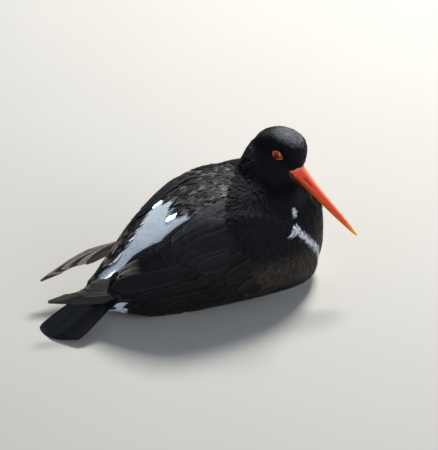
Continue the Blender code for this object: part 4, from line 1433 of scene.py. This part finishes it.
for side, word in ((1, "right"), (-1, "left")):
    middle, out, long_axis = eye_frames[side]
    short_axis = out.cross(long_axis)
    bm = bmesh.new()
    bmesh.ops.create_uvsphere(bm, u_segments=48, v_segments=32, radius=1)
    gaze = bm.loops.layers.uv.new("Gaze")
    for face in bm.faces:
        centre = face.calc_center_median()
        spin = math.atan2(centre.y, centre.x)
        for loop in face.loops:
            at = loop.vert.co
            polar = math.acos(max(-1.0, min(1.0, at.z)))
            around = spin
            if math.hypot(at.x, at.y) > 1e-6:
                around = math.atan2(at.y, at.x)
                around += 2 * math.pi * round((spin - around) / (2 * math.pi))
            loop[gaze].uv = (around / (2 * math.pi) + 0.5, polar / math.pi)
    for vert in bm.verts:
        polar = math.acos(max(-1.0, min(1.0, vert.co.z)))
        radius = EYE_RADIUS + CORNEA_BULGE * (1 - ease(0.2, IRIS_ANGLE, polar))
        x, y, z = vert.co * radius
        vert.co = bird(*(middle - out * EYE_SINK + long_axis * x + short_axis * y + out * z))
    bmesh.ops.recalc_face_normals(bm, faces=bm.faces)
    mesh = mesh_from("eyeball_" + word, bm)
    mesh.shade_smooth()
    ball = add_object("eyeball_" + word, mesh, iris)
    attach(ball, "root")
    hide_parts("eye_" + word)

    bm = bmesh.new()
    bmesh.ops.create_grid(bm, x_segments=RIM_SIDES, y_segments=RIM_STEPS, size=1)
    bm.verts.ensure_lookup_table()
    for index, vert in enumerate(bm.verts):
        row, column = divmod(index, RIM_SIDES + 1)
        around = 2 * math.pi * (row % RIM_STEPS) / RIM_STEPS
        turn = 2 * math.pi * (column % RIM_SIDES) / RIM_SIDES
        crease = 1 + RIM_CREASE * math.sin(around * RIM_CREASES[0]) * math.sin(around * RIM_CREASES[1] + 1)
        thick = RIM_THICKNESS * crease
        reach = RIM_RADIUS + thick * math.cos(turn)
        corner = RIM_CORNERS[0] * max(0.0, math.cos(around)) ** 8
        corner = corner + RIM_CORNERS[1] * max(0.0, -math.cos(around)) ** 8
        narrow = abs(math.sin(around)) ** RIM_POINTING
        height = thick * math.sin(turn)
        if height < 0:
            height = height * RIM_SKIRT
        place = middle + out * height
        place = place + long_axis * (RIM_STRETCH * reach + corner) * math.cos(around)
        place = place + short_axis * reach * narrow * math.sin(around)
        vert.co = bird(*place)
    bmesh.ops.remove_doubles(bm, verts=bm.verts, dist=TOUCHING)
    bmesh.ops.recalc_face_normals(bm, faces=bm.faces)
    mesh = mesh_from("eye_rim_" + word, bm)
    mesh.shade_smooth()
    rim = add_object("eye_rim_" + word, mesh, rim_skin)
    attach(rim, "root")
    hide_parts("eye_ring_" + word)

# Legs and feet keep their solids under the belly. Their pink skin has small plates,
# and the claws at the ends of the toes are dark horn.
ANKLES = {"foot_right": bird(26, -15, 3), "foot_left": bird(26, 15, 3)}
CLAW_FROM = 0.0335  # distance from the ankle
CLAW_EDGE = 0.001
LEG_PINK = (0.60, 0.27, 0.22)
CLAW_DARK = (0.035, 0.025, 0.022)
PLATES_TO_METRE = 620.0
PLATE_TONES = (1.12, 0.75)  # at the middle of a plate and between two
PLATE_DEPTH = 0.0003


def leg_look(name, ankle):
    look, tree, shader = new_material(name, LEG_PINK, 0.5)
    place = object_place(tree)
    scales = add_node(tree, "ShaderNodeTexVoronoi", {"Vector": place, "Scale": PLATES_TO_METRE})
    plates = scales.outputs["Distance"]
    colour = toned(tree, (*LEG_PINK, 1.0), stretched(tree, plates, *PLATE_TONES))
    fine_relief(tree, shader, plates, 0.6, PLATE_DEPTH)
    if ankle is not None:
        reach = add_node(tree, "ShaderNodeVectorMath", {0: place, 1: ankle}, operation="DISTANCE")
        on_claw = stretched(tree, reach.outputs["Value"], 0.0, 1.0, CLAW_FROM, CLAW_FROM + CLAW_EDGE)
        inputs = {"Factor": on_claw, "A": colour, "B": (*CLAW_DARK, 1.0)}
        colour = add_node(tree, "ShaderNodeMix", inputs, data_type="RGBA").outputs["Result"]
    feed(tree, shader.inputs["Base Color"], colour)
    return look


shank_look = leg_look("leg_skin", None)
for node in ("leg_right", "leg_left"):
    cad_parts[node].material_slots[0].material = shank_look
for node, ankle in ANKLES.items():
    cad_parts[node].material_slots[0].material = leg_look("skin_" + node, ankle)

bpy.context.view_layer.update()
